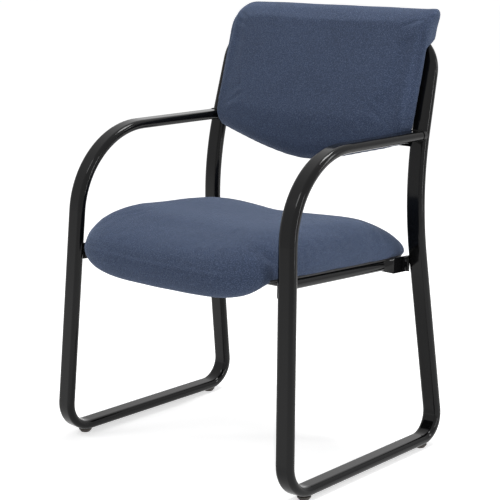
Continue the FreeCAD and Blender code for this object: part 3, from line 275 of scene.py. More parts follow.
def powder_coat_group():
    """Baked powder: a very fine orange peel, faint dust and slightly duller patches."""
    tree, nodes, given, result = shader_group(
        "powder_coat",
        [
            ("Position", VECTOR, None),
            ("Paint", COLOUR, (0.01, 0.01, 0.01, 1)),
            ("Dust", COLOUR, (0.03, 0.03, 0.03, 1)),
            ("Gloss low", FLOAT, 0.24),
            ("Gloss high", FLOAT, 0.34),
        ],
        [("Colour", COLOUR), ("Height", FLOAT), ("Roughness", FLOAT)],
    )
    peel = nodes.mottle(given["Position"], 900.0, 1.0, 0.4)
    patches = nodes.mottle(given["Position"], 22.0, 3.0, 0.55)
    specks = nodes.mottle(given["Position"], 380.0, 2.0, 0.7)
    speckled = nodes.spread(specks, 0.55, 0.8)
    patchy = nodes.spread(patches, 0.35, 0.75)
    dusty = nodes.maths("MULTIPLY", speckled, patchy)
    nodes.feed(result["Colour"], nodes.blend(dusty, given["Paint"], given["Dust"]))
    nodes.feed(result["Height"], peel)
    nodes.feed(
        result["Roughness"],
        nodes.spread(patches, 0.3, 0.7, given["Gloss low"], given["Gloss high"]),
    )
    return tree


def plated_steel_group():
    """Plated or blackened steel with fine turning marks and stains."""
    tree, nodes, given, result = shader_group(
        "plated_steel",
        [
            ("Position", VECTOR, None),
            ("Metal", COLOUR, (0.5, 0.5, 0.5, 1)),
            ("Stain", COLOUR, (0.3, 0.28, 0.24, 1)),
        ],
        [("Colour", COLOUR), ("Height", FLOAT), ("Roughness", FLOAT)],
    )
    stains = nodes.mottle(given["Position"], 160.0, 3.0, 0.6)
    marks = nodes.mottle(given["Position"], 1500.0, 2.0, 0.5)
    stained = nodes.spread(stains, 0.45, 0.75)
    nodes.feed(result["Colour"], nodes.blend(stained, given["Metal"], given["Stain"]))
    nodes.feed(result["Height"], marks)
    nodes.feed(result["Roughness"], nodes.spread(stains, 0.3, 0.7, 0.28, 0.5))
    return tree


def moulded_plastic_group():
    """Moulded plastic with a fine spark grain and scuffs."""
    tree, nodes, given, result = shader_group(
        "moulded_plastic",
        [
            ("Position", VECTOR, None),
            ("Body", COLOUR, (0.1, 0.09, 0.08, 1)),
            ("Scuff", COLOUR, (0.16, 0.15, 0.14, 1)),
            ("Grain per metre", FLOAT, 1100.0),
        ],
        [("Colour", COLOUR), ("Height", FLOAT), ("Roughness", FLOAT)],
    )
    grain = nodes.mottle(given["Position"], given["Grain per metre"], 2.0, 0.55)
    scuffs = nodes.mottle(given["Position"], 120.0, 4.0, 0.65)
    worn = nodes.spread(scuffs, 0.5, 0.78)
    nodes.feed(result["Colour"], nodes.blend(worn, given["Body"], given["Scuff"]))
    nodes.feed(result["Height"], grain)
    nodes.feed(result["Roughness"], nodes.spread(scuffs, 0.3, 0.7, 0.5, 0.72))
    return tree


def plywood_group():
    """Sawn plywood: long grain on the faces and thin layers at the edge."""
    tree, nodes, given, result = shader_group(
        "plywood",
        [("Position", VECTOR, None), ("Light", COLOUR, None), ("Dark", COLOUR, None)],
        [("Colour", COLOUR), ("Height", FLOAT), ("Roughness", FLOAT)],
    )
    stretch = nodes.add("ShaderNodeMapping")
    nodes.feed(stretch.inputs["Vector"], given["Position"])
    stretch.inputs["Scale"].default_value = (9.0, 130.0, 520.0)
    grain = nodes.mottle(stretch.outputs[0], 1.0, 4.0, 0.6)
    banded = nodes.spread(grain, 0.35, 0.65)
    nodes.feed(result["Colour"], nodes.blend(banded, given["Light"], given["Dark"]))
    nodes.feed(result["Height"], grain)
    nodes.feed(result["Roughness"], nodes.spread(grain, 0.3, 0.7, 0.55, 0.75))
    return tree


def finish(name, group, colours, bump, **constants):
    """A material: one effect group feeding the colour, roughness and bump of its shader."""
    material = bpy.data.materials.new(name)
    material.use_nodes = True
    nodes = Nodes(material.node_tree)
    shader = material.node_tree.nodes["Principled BSDF"]
    shader.location = (900, 0)
    where = nodes.add("ShaderNodeTexCoord")
    effect = nodes.add("ShaderNodeGroup", node_tree=group)
    nodes.feed(effect.inputs["Position"], where.outputs["Object"])
    if "Facing" in effect.inputs:
        nodes.feed(effect.inputs["Facing"], where.outputs["Normal"])
    for label, value in colours.items():
        nodes.feed(effect.inputs[label], value)
    nodes.feed(shader.inputs["Base Color"], effect.outputs["Colour"])
    nodes.feed(shader.inputs["Roughness"], effect.outputs["Roughness"])
    relief = nodes.add("ShaderNodeBump")
    distance, strength = bump
    relief.inputs["Distance"].default_value = distance
    relief.inputs["Strength"].default_value = strength
    nodes.feed(relief.inputs["Height"], effect.outputs["Height"])
    nodes.feed(shader.inputs["Normal"], relief.outputs["Normal"])
    for label, value in constants.items():
        shader.inputs[label.replace("_", " ")].default_value = value
    return material


crossing = thread_crossing_group()
cloth_group = woven_cloth_group(crossing)
coat_group = powder_coat_group()
steel_group = plated_steel_group()
plastic_group = moulded_plastic_group()
wood_group = plywood_group()

seat_cloth = finish(
    "slate_blue_cloth",
    cloth_group,
    {
        "Threads per metre": 820.0,
        "Ground": colour(59, 71, 95),
        "Fleck": colour(90, 104, 133),
        "Shade": colour(33, 41, 58),
    },
    (0.0005, 0.55),
    Specular_IOR_Level=0.25,
    Sheen_Weight=0.42,
    Sheen_Roughness=0.36,
    Sheen_Tint=colour(178, 194, 220),
)
powder_black = finish(
    "black_powder_coat",
    coat_group,
    {"Paint": colour(12, 12, 13), "Dust": colour(24, 24, 26), "Gloss low": 0.09, "Gloss high": 0.14},
    (0.00006, 0.12),
    Specular_IOR_Level=0.2,
)
weld_black = finish(
    "black_weld_bead",
    coat_group,
    {"Paint": colour(15, 15, 16), "Dust": colour(40, 40, 42), "Gloss low": 0.25, "Gloss high": 0.4},
    (0.0004, 0.6),
    Specular_IOR_Level=0.25,
)
zinc_plate = finish(
    "zinc_plate",
    steel_group,
    {"Metal": colour(190, 190, 186), "Stain": colour(150, 146, 132)},
    (0.00008, 0.3),
    Metallic=1.0,
)
black_plate = finish(
    "blackened_steel",
    steel_group,
    {"Metal": colour(52, 52, 54), "Stain": colour(30, 29, 28)},
    (0.00008, 0.3),
    Metallic=0.85,
)
glide_plastic = finish(
    "glide_plastic",
    plastic_group,
    {"Body": colour(62, 57, 53), "Scuff": colour(96, 90, 84)},
    (0.0002, 0.4),
)
panel_plastic = finish(
    "black_panel",
    plastic_group,
    {"Body": colour(24, 24, 26), "Scuff": colour(40, 40, 42), "Grain per metre": 700.0},
    (0.0003, 0.5),
)
foam_grey = finish(
    "foam",
    plastic_group,
    {"Body": colour(196, 190, 176), "Scuff": colour(170, 164, 148), "Grain per metre": 500.0},
    (0.0006, 0.8),
)
board_wood = finish(
    "plywood_board",
    wood_group,
    {"Light": colour(206, 172, 124), "Dark": colour(166, 126, 82)},
    (0.0003, 0.4),
)


# finishes of the CAD pieces

NODE_FINISH = {
    "glide_front_left": glide_plastic,
    "glide_front_right": glide_plastic,
    "glide_rear_left": glide_plastic,
    "glide_rear_right": glide_plastic,
    "arm_weld_left": weld_black,
    "arm_weld_right": weld_black,
    "seat_board": board_wood,
    "back_board": board_wood,
    "seat_bottom_panel": panel_plastic,
    "back_rear_panel": panel_plastic,
    "seat_foam": foam_grey,
    "back_foam": foam_grey,
    "seat_cover": seat_cloth,
    "back_cover": seat_cloth,
    "tab_screws": black_plate,
    "tab_nuts": black_plate,
    "back_bar_bolts": black_plate,
    "back_bar_washers": black_plate,
    "back_hoop_bolts": black_plate,
    "glide_pins": zinc_plate,
    "hoop_sleeves": zinc_plate,
    "seat_bolts": zinc_plate,
    "seat_washers": zinc_plate,
    "seat_tee_nuts": zinc_plate,
    "back_tee_nuts": zinc_plate,
    "back_bar_spacers": zinc_plate,
    "back_hoop_spacers": zinc_plate,
}
for node_name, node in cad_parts.items():
    material = NODE_FINISH.get(node_name, powder_black)
    for slot in node.material_slots:
        slot.material = material


# padded forms

def remeshed(piece, voxel):
    """The piece as even quads of the voxel's size."""
    modifier = piece.modifiers.new("even quads", "REMESH")
    modifier.mode = "VOXEL"
    modifier.voxel_size = voxel
    even = evaluated_copy(piece)
    piece.modifiers.remove(modifier)
    piece.data = even


def relaxed(mesh, points, rounds, share=0.5):
    """Points moved towards the middle of their neighbours."""
    edges = np.empty(len(mesh.edges) * 2, dtype=int)
    mesh.edges.foreach_get("vertices", edges)
    first, second = edges.reshape(-1, 2).T
    degree = np.bincount(edges, minlength=len(points)).astype(float)[:, None]
    for _ in range(rounds):
        total = np.zeros_like(points)
        np.add.at(total, first, points[second])
        np.add.at(total, second, points[first])
        points = points + share * (total / degree - points)
    return points


def swell(piece, hold, pressure, cap):
    """Blows the cover up a little, held where it is stapled, and keeps each move under a cap."""
    mesh = piece.data
    start = coordinates(mesh)
    group = piece.vertex_groups.new(name="stapled")
    for index, weight in enumerate(hold):
        if weight > 0:
            group.add([index], float(weight), "REPLACE")
    cloth = piece.modifiers.new("cover", "CLOTH")
    settings = cloth.settings
    settings.quality = 4
    settings.mass = 0.25
    settings.tension_stiffness = 12.0
    settings.compression_stiffness = 12.0
    settings.shear_stiffness = 4.0
    settings.bending_stiffness = 0.4
    settings.vertex_group_mass = group.name
    settings.use_pressure = True
    settings.uniform_pressure_force = pressure
    settings.effector_weights.gravity = 0.0
    cloth.point_cache.frame_start = 1
    cloth.point_cache.frame_end = 20
    for step in range(1, 21):
        scene.frame_set(step)
    blown = evaluated_copy(piece)
    move = coordinates(blown) - start
    length = np.linalg.norm(move, axis=1, keepdims=True)
    move *= np.minimum(1.0, cap / np.maximum(length, 1e-9))
    piece.modifiers.remove(cloth)
    piece.vertex_groups.clear()
    bpy.data.meshes.remove(blown)
    scene.frame_set(1)
    return start + move


def subdivided(piece, levels=1):
    modifier = piece.modifiers.new("smooth", "SUBSURF")
    modifier.levels = levels
    modifier.render_levels = levels


# seat cushion

SEAT_PLANE_HEIGHT = 0.3821
SEAT_TILT = math.tan(math.radians(2.87))
HEM_RISE = 0.0018
HEM_STARTS = 0.978
ROLL_ZONE = (-0.222, -0.166)
SEAT = {
    "front_half_width": 0.2426,
    "rear_half_width": 0.2385,
    "front": -0.2721,
    "rear": 0.2241,
    "front_squareness": 4.909,
    "rear_squareness": 9.133,
    "front_middle": 0.4334,
    "rear_middle": 0.4079,
    "crown": 0.0481,
    "belly": 0.0604,
    "front_fullness": 10.86,
    "rear_fullness": 2.551,
    "side_fullness": 5.492,
    "front_drop": 0.0773,
    "rear_drop": 0.0643,
    "dish": 0.0079,
    "side_rise": 0.0072,
    "edge_power": 1.589,
}
PINCH_PLACE = -0.196
PINCH_SLANT = 0.25
PINCH_DEPTH = 0.0085
CHEEK_PLACE = -0.228
CHEEK_HEIGHT = 0.0022


def seat_surface(angle, reach):
    """Top and underside of the seat at an angle round it and a share of the way to its edge."""
    size = SEAT
    turn_x = np.cos(angle)
    turn_y = np.sin(angle)
    power = np.where(turn_y < 0, size["front_squareness"], size["rear_squareness"])
    rim = (np.abs(turn_x) ** power + np.abs(turn_y) ** power) ** (-1 / power)
    across = rim * turn_x * reach
    along = rim * turn_y * reach
    y = (size["front"] + size["rear"]) / 2 + (size["rear"] - size["front"]) / 2 * along
    widening = (size["rear_half_width"] - size["front_half_width"]) * (along + 1) / 2
    x = (size["front_half_width"] + widening) * across
    ends = np.where(turn_y < 0, size["front_fullness"], size["rear_fullness"])
    fullness = size["side_fullness"] * turn_x ** 2 + ends * turn_y ** 2
    fill = np.maximum(0.0, 1 - reach ** fullness)
    level = size["front_middle"] + (size["rear_middle"] - size["front_middle"]) * (along + 1) / 2
    level = level - size["front_drop"] * np.maximum(-along - 0.3, 0) ** 2
    level = level - size["rear_drop"] * np.maximum(along - 0.3, 0) ** 2
    top = level + size["crown"] * fill ** (1 / size["edge_power"])
    top = top - size["dish"] * np.maximum(1 - (across / 0.8) ** 2, 0) * fill
    top = top + size["side_rise"] * np.abs(across) ** 3 * fill
    low = level - size["belly"] * np.sqrt(fill)
    plane = SEAT_PLANE_HEIGHT - y * SEAT_TILT + HEM_RISE
    past_the_hem = np.clip((reach - HEM_STARTS) / (1 - HEM_STARTS), 0.0, 1.0)
    flat = level - (level - plane) * np.sqrt(1 - past_the_hem ** 2)
    behind_roll = ease(y, *ROLL_ZONE)
    under = low + (np.minimum(flat, top) - low) * behind_roll
    return x, y, top, under


def seat_blank():
    """The seat's closed outline as a fine polar net."""
    around = 220
    rings = 44
    angles = np.arange(around) * 2 * math.pi / around
    shares = np.sin(np.linspace(0, math.pi / 2, rings + 1))[1:]
    points = []
    _, y, top, under = seat_surface(np.array([0.0]), np.array([1e-4]))
    points.append((0.0, y[0], top[0]))
    points.append((0.0, y[0], under[0]))
    net = {}
    for ring, share in enumerate(shares):
        x, y, top, under = seat_surface(angles, np.full(around, share))
        for spot in range(around):
            net[(ring, spot, 1)] = len(points)
            points.append((x[spot], y[spot], top[spot]))
            if ring < rings - 1:
                net[(ring, spot, 0)] = len(points)
                points.append((x[spot], y[spot], under[spot]))
            else:
                net[(ring, spot, 0)] = net[(ring, spot, 1)]
    faces = []
    for spot in range(around):
        beside = (spot + 1) % around
        faces.append((0, net[(0, spot, 1)], net[(0, beside, 1)]))
        faces.append((1, net[(0, beside, 0)], net[(0, spot, 0)]))
        for ring in range(rings - 1):
            for side in (1, 0):
                face = (
                    net[(ring, spot, side)],
                    net[(ring + 1, spot, side)],
                    net[(ring + 1, beside, side)],
                    net[(ring, beside, side)],
                )
                faces.append(face if side else face[::-1])
    piece = solid_object("seat_cushion", points, faces)
    outward_and_merged(piece)
    return piece


def make_seat():
    piece = seat_blank()
    remeshed(piece, 0.005)
    mesh = piece.data
    points = relaxed(mesh, coordinates(mesh), 2, 0.4)
    place_points(mesh, points)
    points = coordinates(mesh) - normals(mesh) * 0.0006
    place_points(mesh, points)
    plane = SEAT_PLANE_HEIGHT - points[:, 1] * SEAT_TILT + HEM_RISE
    hold = 1 - ease(points[:, 2] - plane, 0.004, 0.014)
    points = relaxed(mesh, swell(piece, hold, 4.0, 0.0022), 1, 0.3)
    place_points(mesh, points)
    points = seat_details(points, normals(mesh))
    place_points(mesh, points)
    subdivided(piece)
    shade_smooth(piece)
    piece.data.materials.clear()
    piece.data.materials.append(seat_cloth)
    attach(piece, "root")
    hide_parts("seat_cover", "seat_foam")


def seat_details(points, facing):
    """The pinch beside the near front corner, the swell before it and slight unevenness."""
    x, y, z = points.T
    lift = z - (SEAT_PLANE_HEIGHT - y * SEAT_TILT)
    above_the_hem = ease(lift, 0.024, 0.046)
    slanted = y - PINCH_PLACE + PINCH_SLANT * (lift - 0.03)
    pinch = hill(slanted, 0.012) * ease(x, 0.185, 0.232)
    cheek = hill(y - CHEEK_PLACE, 0.018) * ease(x, 0.16, 0.21)
    away = (CHEEK_HEIGHT * cheek - PINCH_DEPTH * pinch) * above_the_hem
    edge = ease(lift, 0.006, 0.05) * (1 - ease(lift, 0.05, 0.09))
    for index, spot in enumerate(points):
        ripple = noise.noise(Vector(spot) * 14 + Vector((SEED, 0, 0)))
        away[index] += 0.0009 * ripple
        if edge[index] > 0:
            away[index] += 0.0007 * edge[index] * noise.noise(Vector(spot) * 60)
    return points + facing * away[:, None]


# back cushion

LEAN = math.radians(14.79)
KNEE = np.array([0.0, 0.17174, 0.501])
UP_THE_BACK = np.array([0.0, math.sin(LEAN), math.cos(LEAN)])
BACK_NORMAL = np.array([0.0, -math.cos(LEAN), math.sin(LEAN)])
BACK_HALF_WIDTH = 0.249
BACK_HEM = 0.0116
BACK_REAR = -0.0146
BACK_FOOT = 0.040
BACK_HEAD = 0.356
LUMBAR = 0.125
EDGE_DEPTH = 0.022
FOOT_RADIUS = 0.016
HEAD_RADIUS = 0.046
EAR_RADIUS = 0.012
SIDE_ROUND = 0.010
SIDE_MIDDLE = 0.018


def back_to_world(across, rise, depth):
    """Across the chair, up the leaning uprights from the knee, forward of the tubes' middle."""
    across, rise, depth = np.broadcast_arrays(across, rise, depth)
    places = KNEE + rise[..., None] * UP_THE_BACK + depth[..., None] * BACK_NORMAL
    places[..., 0] = across
    return places


def world_to_back(points):
    apart = points - KNEE
    return points[:, 0], apart @ UP_THE_BACK, apart @ BACK_NORMAL


def corner_drop(x, radius):
    past = np.maximum(0.0, np.abs(x) - (BACK_HALF_WIDTH - radius))
    return radius - np.sqrt(np.maximum(0.0, radius ** 2 - past ** 2))


def back_bottom(x):
    bow = 0.30 * (np.sqrt(x ** 2 + 0.08 ** 2) - 0.08)
    return BACK_FOOT + bow + corner_drop(x, FOOT_RADIUS)


def back_top(x):
    return BACK_HEAD - corner_drop(x, HEAD_RADIUS)


def back_crest(x):
    """The rear of the top edge, pulled out to a corner on the sitter's left."""
    return BACK_HEAD - corner_drop(x, HEAD_RADIUS if x < 0 else EAR_RADIUS)


def back_front(x, rise):
    """How far the front of the pad stands forward."""
    above = np.maximum(0.0, rise - LUMBAR)
    below = np.maximum(0.0, LUMBAR - rise)
    deep = 0.058 - 0.122 * above - 1.1 * below ** 2
    share = np.minimum(1.0, np.abs(x) / BACK_HALF_WIDTH)
    fill = np.sqrt(1 - share ** 5)
    return EDGE_DEPTH + (deep - EDGE_DEPTH) * fill


def back_step(x):
    """The rise at which the rear of the pad steps out over the boards."""
    return min(0.262 + 0.024 * ease(abs(x), 0.15, 0.235), back_top(x) - 0.024)


def arc_through(first, middle, last, count):
    """Points of the arc through three points, without the last."""
    first, middle, last = (np.array(point, dtype=float) for point in (first, middle, last))
    a = middle - first
    b = last - first
    cross = a[0] * b[1] - a[1] * b[0]
    if abs(cross) < 1e-9:
        return [first + (last - first) * step / count for step in range(count)]
    centre = first + np.array(
        [b[1] * a.dot(a) - a[1] * b.dot(b), a[0] * b.dot(b) - b[0] * a.dot(a)]
    ) / (2 * cross)
    start = math.atan2(*(first - centre)[::-1])
    through = (math.atan2(*(middle - centre)[::-1]) - start) % (2 * math.pi)
    sweep = (math.atan2(*(last - centre)[::-1]) - start) % (2 * math.pi)
    if through > sweep:
        sweep -= 2 * math.pi
    radius = np.linalg.norm(first - centre)
    angles = start + sweep * np.arange(count) / count
    return [centre + radius * np.array([math.cos(turn), math.sin(turn)]) for turn in angles]


def back_loop(x):
    """The pad cut up the back, as (rise, depth) points from its foot round to its foot."""
    low = float(back_bottom(x))
    high = float(back_top(x))
    ridge = float(back_crest(x))
    rear = BACK_HEM
    shelf = float(back_step(x))
    slant = 0.012 * float(ease(abs(x), 0.2, 0.24))

    def front(rise):
        return (rise, float(back_front(x, rise)))

    start = low + 0.026
    end = high - 0.048
    foot = (low + 0.001, rear)
    crest = (ridge, 0.002)
    nape = (ridge - 0.014, BACK_REAR)
    foot_depth = front(start)[1]
    brow_depth = front(end)[1]
    loop = arc_through(foot, (low + 0.006, rear + 0.6 * (foot_depth - rear)), front(start), 14)
    for step in range(30):
        loop.append(np.array(front(start + (end - start) * step / 30)))
    loop += arc_through(front(end), (ridge - 0.28 * (ridge - end), 0.62 * brow_depth), crest, 16)
    loop += arc_through(crest, (ridge - 0.004, 0.72 * BACK_REAR), nape, 8)
    for first, second, count in (
        (nape, (shelf + slant, BACK_REAR), 8),
        ((shelf + slant, BACK_REAR), (shelf - slant, rear), 8),
        ((shelf - slant, rear), foot, 24),
    ):
        first = np.array(first)
        second = np.array(second)
        loop += [first + (second - first) * step / count for step in range(count)]
    return np.array(loop)


def back_blank():
    """The back pad's closed outline, with rounded sides."""
    stations = []
    flat_width = BACK_HALF_WIDTH - SIDE_ROUND
    for share in np.linspace(0, 1, 30):
        stations.append((flat_width * math.sin(share * math.pi / 2), 1.0))
    for turn in np.linspace(0, math.pi / 2, 9)[1:]:
        stations.append((flat_width + SIDE_ROUND * math.sin(turn), max(0.08, math.cos(turn))))
    full = []
    for x, shrink in [(-x, shrink) for x, shrink in reversed(stations[1:])] + stations:
        loop = back_loop(x)
        depth = loop[:, 1]
        middle = 0.5 * (BACK_HEM + 0.024)
        front = middle + (depth - middle) * shrink
        shelf = depth + (SIDE_MIDDLE - depth) * (1 - shrink) * 0.35
        squeezed = np.stack([loop[:, 0], np.where(depth < 0, shelf, front)], axis=1)
        full.append((x, squeezed))
    count = len(full[0][1])
    points = []
    for x, loop in full:
        points.extend(back_to_world(np.full(count, x), loop[:, 0], loop[:, 1]))
    faces = []
    for column in range(len(full) - 1):
        for spot in range(count):
            beside = (spot + 1) % count
            faces.append(
                (
                    column * count + spot,
                    column * count + beside,
                    (column + 1) * count + beside,
                    (column + 1) * count + spot,
                )
            )
    faces.append(tuple(range(count))[::-1])
    faces.append(tuple((len(full) - 1) * count + spot for spot in range(count)))
    piece = solid_object("back_cushion", points, faces)
    outward_and_merged(piece)
    return piece


def back_details(points, facing):
    """The side folds, the pulled-out rear corner and the gathers by the arm."""
    x, rise, depth = world_to_back(points)
    away = np.zeros(len(points))
    side = np.abs(x)
    fold = hill(side - 0.2385, 0.0032) * ease(depth, 0.012, 0.020)
    fold = fold * ease(rise, 0.11, 0.15) * (1 - ease(rise, 0.30, 0.34))
    away -= 0.0030 * fold
    roll = hill(side - 0.226, 0.009) * ease(depth, 0.012, 0.020)
    away += 0.0030 * roll * ease(rise, 0.10, 0.15) * (1 - ease(rise, 0.30, 0.345))
    for gather in range(5):
        level = 0.098 + 0.009 * gather
        pull = hill(rise - level - 0.25 * (side - 0.235), 0.0032) * ease(side, 0.212, 0.238)
        away -= 0.0014 * pull * ease(depth, 0.012, 0.022)
    for index, spot in enumerate(points):
        away[index] += 0.0008 * noise.noise(Vector(spot) * 12 + Vector((0, SEED, 0)))
    points = points + facing * away[:, None]
    # the sides give way where the arms meet the uprights
    by_the_arm = hill(rise - 0.100, 0.014) * ease(side, 0.228, 0.2465)
    points[:, 0] -= np.sign(x) * 0.009 * by_the_arm
    # the corner of the cover stands out behind the hoop on the sitter's left
    ear = ease(x, 0.222, 0.246) * ease(rise, 0.318, 0.350) * (1 - ease(depth, -0.004, 0.014))
    shift = 0.0035 * UP_THE_BACK - 0.003 * BACK_NORMAL + np.array([0.0015, 0.0, 0.0])
    return points + ear[:, None] * shift


def make_back():
    piece = back_blank()
    remeshed(piece, 0.0045)
    mesh = piece.data
    points = relaxed(mesh, coordinates(mesh), 4, 0.4)
    place_points(mesh, points)
    points = coordinates(mesh) - normals(mesh) * 0.0004
    place_points(mesh, points)
    _, rise, depth = world_to_back(points)
    hold = 1 - ease(depth, 0.016, 0.028)
    points = relaxed(mesh, swell(piece, hold, 4.0, 0.0018), 1, 0.3)
    place_points(mesh, points)
    place_points(mesh, back_details(points, normals(mesh)))
    subdivided(piece)
    shade_smooth(piece)
    piece.data.materials.clear()
    piece.data.materials.append(seat_cloth)
    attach(piece, "root")
    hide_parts("back_cover", "back_foam")


def make_lining_shade_band():
    """A black lining band round the seat's lower edge: partly the real stapled lining, and partly a
    dark sheet that stands in as painted shade between the cushion and the rails.
    """
    around = 240
    angles = np.arange(around) * 2 * math.pi / around
    points = []
    rings = (
        (0.84, 0.0003),
        (0.972, 0.0003),
        (0.979, 0.0012),
        (0.981, 0.0036),
        (0.974, 0.0050),
        (0.84, 0.0050),
    )
    for share, lift in rings:
        x, y, _, _ = seat_surface(angles, np.full(around, share))
        y = np.maximum(y, -0.203)
        plane = SEAT_PLANE_HEIGHT - y * SEAT_TILT
        points.extend(zip(x, y, plane + lift))
    faces = []
    for ring in range(len(rings)):
        beyond = (ring + 1) % len(rings)
        for spot in range(around):
            beside = (spot + 1) % around
            faces.append(
                (
                    ring * around + spot,
                    ring * around + beside,
                    beyond * around + beside,
                    beyond * around + spot,
                )
            )
    piece = solid_object("seat_lining_shade_band", points, faces)
    outward_and_merged(piece, 1e-7)
    piece.data.materials.append(panel_plastic)
    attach(piece, "root")


# small repeats along a path

def repeats_tree(name, shape, material):
    """A node tree that sets one small shape at even steps along a line."""
    tree = bpy.data.node_groups.new(name, "GeometryNodeTree")
    tree.interface.new_socket("Path", in_out="INPUT", socket_type="NodeSocketGeometry")
    for label in ("Spacing", "Length", "Width"):
        tree.interface.new_socket(label, in_out="INPUT", socket_type=FLOAT)
    tree.interface.new_socket("Pieces", in_out="OUTPUT", socket_type="NodeSocketGeometry")
    nodes = Nodes(tree)
    given = nodes.add("NodeGroupInput").outputs
    curve = nodes.add("GeometryNodeMeshToCurve")
    nodes.feed(curve.inputs["Mesh"], given["Path"])
    spots = nodes.add("GeometryNodeCurveToPoints", mode="LENGTH")
    nodes.feed(spots.inputs["Curve"], curve.outputs["Curve"])
    nodes.feed(spots.inputs["Length"], given["Spacing"])
    size = nodes.add("ShaderNodeCombineXYZ")
    nodes.feed(size.inputs["X"], given["Width"])
    nodes.feed(size.inputs["Y"], given["Width"])
    nodes.feed(size.inputs["Z"], given["Length"])
    if shape == "wire":
        piece = nodes.add("GeometryNodeMeshCube")
        nodes.feed(piece.inputs["Size"], size.outputs[0])
        made = piece.outputs["Mesh"]
    else:
        piece = nodes.add("GeometryNodeMeshUVSphere")
        piece.inputs["Segments"].default_value = 10
        piece.inputs["Rings"].default_value = 6
        piece.inputs["Radius"].default_value = 0.5
        squashed = nodes.add("GeometryNodeTransform")
        nodes.feed(squashed.inputs["Geometry"], piece.outputs["Mesh"])
        nodes.feed(squashed.inputs["Scale"], size.outputs[0])
        made = squashed.outputs["Geometry"]
    placed = nodes.add("GeometryNodeInstanceOnPoints")
    nodes.feed(placed.inputs["Points"], spots.outputs["Points"])
    nodes.feed(placed.inputs["Instance"], made)
    nodes.feed(placed.inputs["Rotation"], spots.outputs["Rotation"])
    real = nodes.add("GeometryNodeRealizeInstances")
    nodes.feed(real.inputs["Geometry"], placed.outputs["Instances"])
    coloured = nodes.add("GeometryNodeSetMaterial")
    nodes.feed(coloured.inputs["Geometry"], real.outputs["Geometry"])
    coloured.inputs["Material"].default_value = material
    nodes.feed(nodes.add("NodeGroupOutput").inputs["Pieces"], coloured.outputs["Geometry"])
    return tree


def repeated_along(name, lines, tree, slot, **sizes):
    """The tree's shape, at the given sizes, set along each line as one plain mesh."""
    points = []
    edges = []
    for line in lines:
        first = len(points)
        points.extend(tuple(point) for point in line)
        edges.extend((first + step, first + step + 1) for step in range(len(line) - 1))
    mesh = bpy.data.meshes.new(name)
    mesh.from_pydata(points, edges, [])
    piece = bpy.data.objects.new(name, mesh)
    scene.collection.objects.link(piece)
    modifier = piece.modifiers.new("repeats", "NODES")
    modifier.node_group = tree
    for socket in tree.interface.items_tree:
        if socket.in_out == "INPUT" and socket.name in sizes:
            modifier[socket.identifier] = sizes[socket.name]
    made = evaluated_copy(piece)
    piece.modifiers.remove(modifier)
    piece.data = made
    shade_smooth(piece)
    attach(piece, "root")


WELD_INSET = 0.0082
WELD_END = 0.004


def make_staples():
    """Wire staples that hold the lining under the seat."""
    angles = np.linspace(0, 2 * math.pi, 181)
    x, y, _, _ = seat_surface(angles, np.full(len(angles), 0.925))
    y = np.maximum(y, -0.199)
    plane = SEAT_PLANE_HEIGHT - y * SEAT_TILT
    line = [(a, b, c) for a, b, c in zip(x, y, plane) if abs(a) < 0.212 or abs(a) > 0.2475]
    runs = [[]]
    for spot in line:
        if runs[-1] and math.dist(runs[-1][-1], spot) > 0.03:
            runs.append([])
        runs[-1].append(spot)
    runs = [run for run in runs if len(run) > 2]
    tree = repeats_tree("staples", "wire", zinc_plate)
    repeated_along(
        "seat_staples", runs, tree, "zinc_steel", Spacing=0.024, Length=0.010, Width=0.0009
    )


def make_tab_welds():
    """Weld beads up the joint between each leg and its tab."""
    tree = repeats_tree("weld_ripples", "bead", weld_black)
    lines = []
    for end in ("front", "rear"):
        for side in ("left", "right"):
            low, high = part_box("leg_tab_%s_%s" % (end, side))
            outer = max(abs(low[0]), abs(high[0])) * (1 if low[0] + high[0] > 0 else -1)
            leg_side = low[1] + WELD_INSET if end == "front" else high[1] - WELD_INSET
            foot = (outer, leg_side, low[2] + WELD_END)
            head = (outer, leg_side, high[2] - WELD_END)
            lines.append([foot, head])
    repeated_along(
        "tab_welds", lines, tree, "frame_black", Spacing=0.0014, Length=0.0026, Width=0.0046
    )


make_seat()
make_back()
make_lining_shade_band()
make_staples()
make_tab_welds()


# floor, light and camera

def light_path_share(nodes, *outputs):
    """How much of a ray is one of the named kinds."""
    path = nodes.add("ShaderNodeLightPath")
    share = path.outputs[outputs[0]]
    for label in outputs[1:]:
        share = nodes.maths("ADD", share, path.outputs[label], clamp=True)
    return share


def make_floor():
    floor = solid_object(
        "floor", [(-30, -30, 0), (30, -30, 0), (30, 30, 0), (-30, 30, 0)], [(0, 1, 2, 3)]
    )
    material = bpy.data.materials.new("pale_floor")
    material.use_nodes = True
    nodes = Nodes(material.node_tree)
    shader = material.node_tree.nodes["Principled BSDF"]
    shader.inputs["Base Color"].default_value = (0.93, 0.93, 0.93, 1)
    shader.inputs["Roughness"].default_value = 0.8
    shader.inputs["Specular IOR Level"].default_value = 0.0
    shader.inputs["Emission Color"].default_value = (1, 1, 1, 1)
    seen = light_path_share(nodes, "Is Camera Ray", "Is Glossy Ray")
    nodes.feed(shader.inputs["Emission Strength"], nodes.maths("MULTIPLY", seen, 0.55))
    floor.data.materials.append(material)


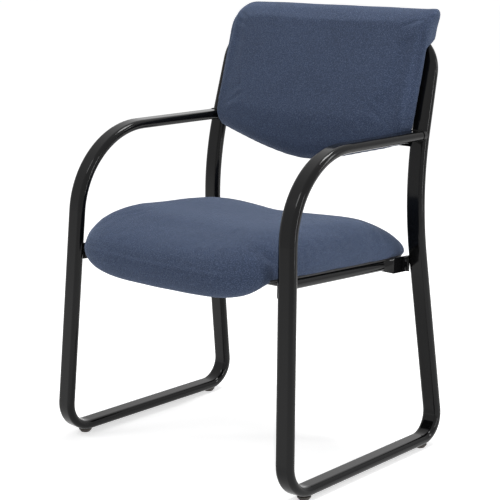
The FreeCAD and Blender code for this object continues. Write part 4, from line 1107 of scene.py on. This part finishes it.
def make_world():
    world = bpy.data.worlds.new("studio")
    world.use_nodes = True
    scene.world = world
    nodes = Nodes(world.node_tree)
    background = world.node_tree.nodes["Background"]
    background.inputs["Color"].default_value = (1, 1, 1, 1)
    seen = light_path_share(nodes, "Is Camera Ray", "Is Glossy Ray", "Is Transmission Ray")
    nodes.feed(background.inputs["Strength"], nodes.spread(seen, 0.0, 1.0, 0.5, 1.0))


def softbox(name, place, target, width, height, power):
    lamp = bpy.data.lights.new(name, "AREA")
    lamp.shape = "RECTANGLE"
    lamp.size = width
    lamp.size_y = height
    lamp.energy = power
    holder = bpy.data.objects.new(name, lamp)
    holder.location = place
    aim = Vector(target) - Vector(place)
    holder.rotation_euler = aim.to_track_quat("-Z", "Y").to_euler()
    scene.collection.objects.link(holder)


SENSOR_WIDTH = 36.0
PICTURE_PIXELS = 500.0
FOCAL_LENGTH_PIXELS = 1540.0


def make_camera():
    yaw = math.radians(41.149)
    pitch = math.radians(12.299)
    roll = math.radians(-0.098)
    level_share = math.cos(pitch)
    ahead = Vector((-math.sin(yaw) * level_share, math.cos(yaw) * level_share, -math.sin(pitch)))
    level = ahead.cross(Vector((0, 0, 1))).normalized()
    upright = level.cross(ahead)
    right = math.cos(roll) * level + math.sin(roll) * upright
    up = math.cos(roll) * upright - math.sin(roll) * level
    data = bpy.data.cameras.new("camera")
    data.sensor_width = SENSOR_WIDTH
    data.lens = FOCAL_LENGTH_PIXELS / PICTURE_PIXELS * SENSOR_WIDTH
    data.clip_end = 100.0
    camera = bpy.data.objects.new("camera", data)
    turn = Matrix((right, up, -ahead)).transposed().to_4x4()
    camera.matrix_world = Matrix.Translation((1.9183, -2.1935, 1.0206)) @ turn
    scene.collection.objects.link(camera)
    scene.camera = camera


make_floor()
make_world()
softbox("top_box", (0.3, 0.7, 3.0), (0, 0, 0.4), 1.0, 0.8, 42)
softbox("key_box", (-1.5, -2.4, 3.1), (0, 0, 0.5), 0.8, 1.0, 20)
softbox("side_strip", (3.0, -0.1, 0.95), (0, 0, 0.55), 0.16, 1.7, 17)
softbox("back_strip", (2.6, 1.9, 1.7), (0, 0, 0.5), 0.3, 1.5, 14)
make_camera()
scene.view_settings.view_transform = "Standard"
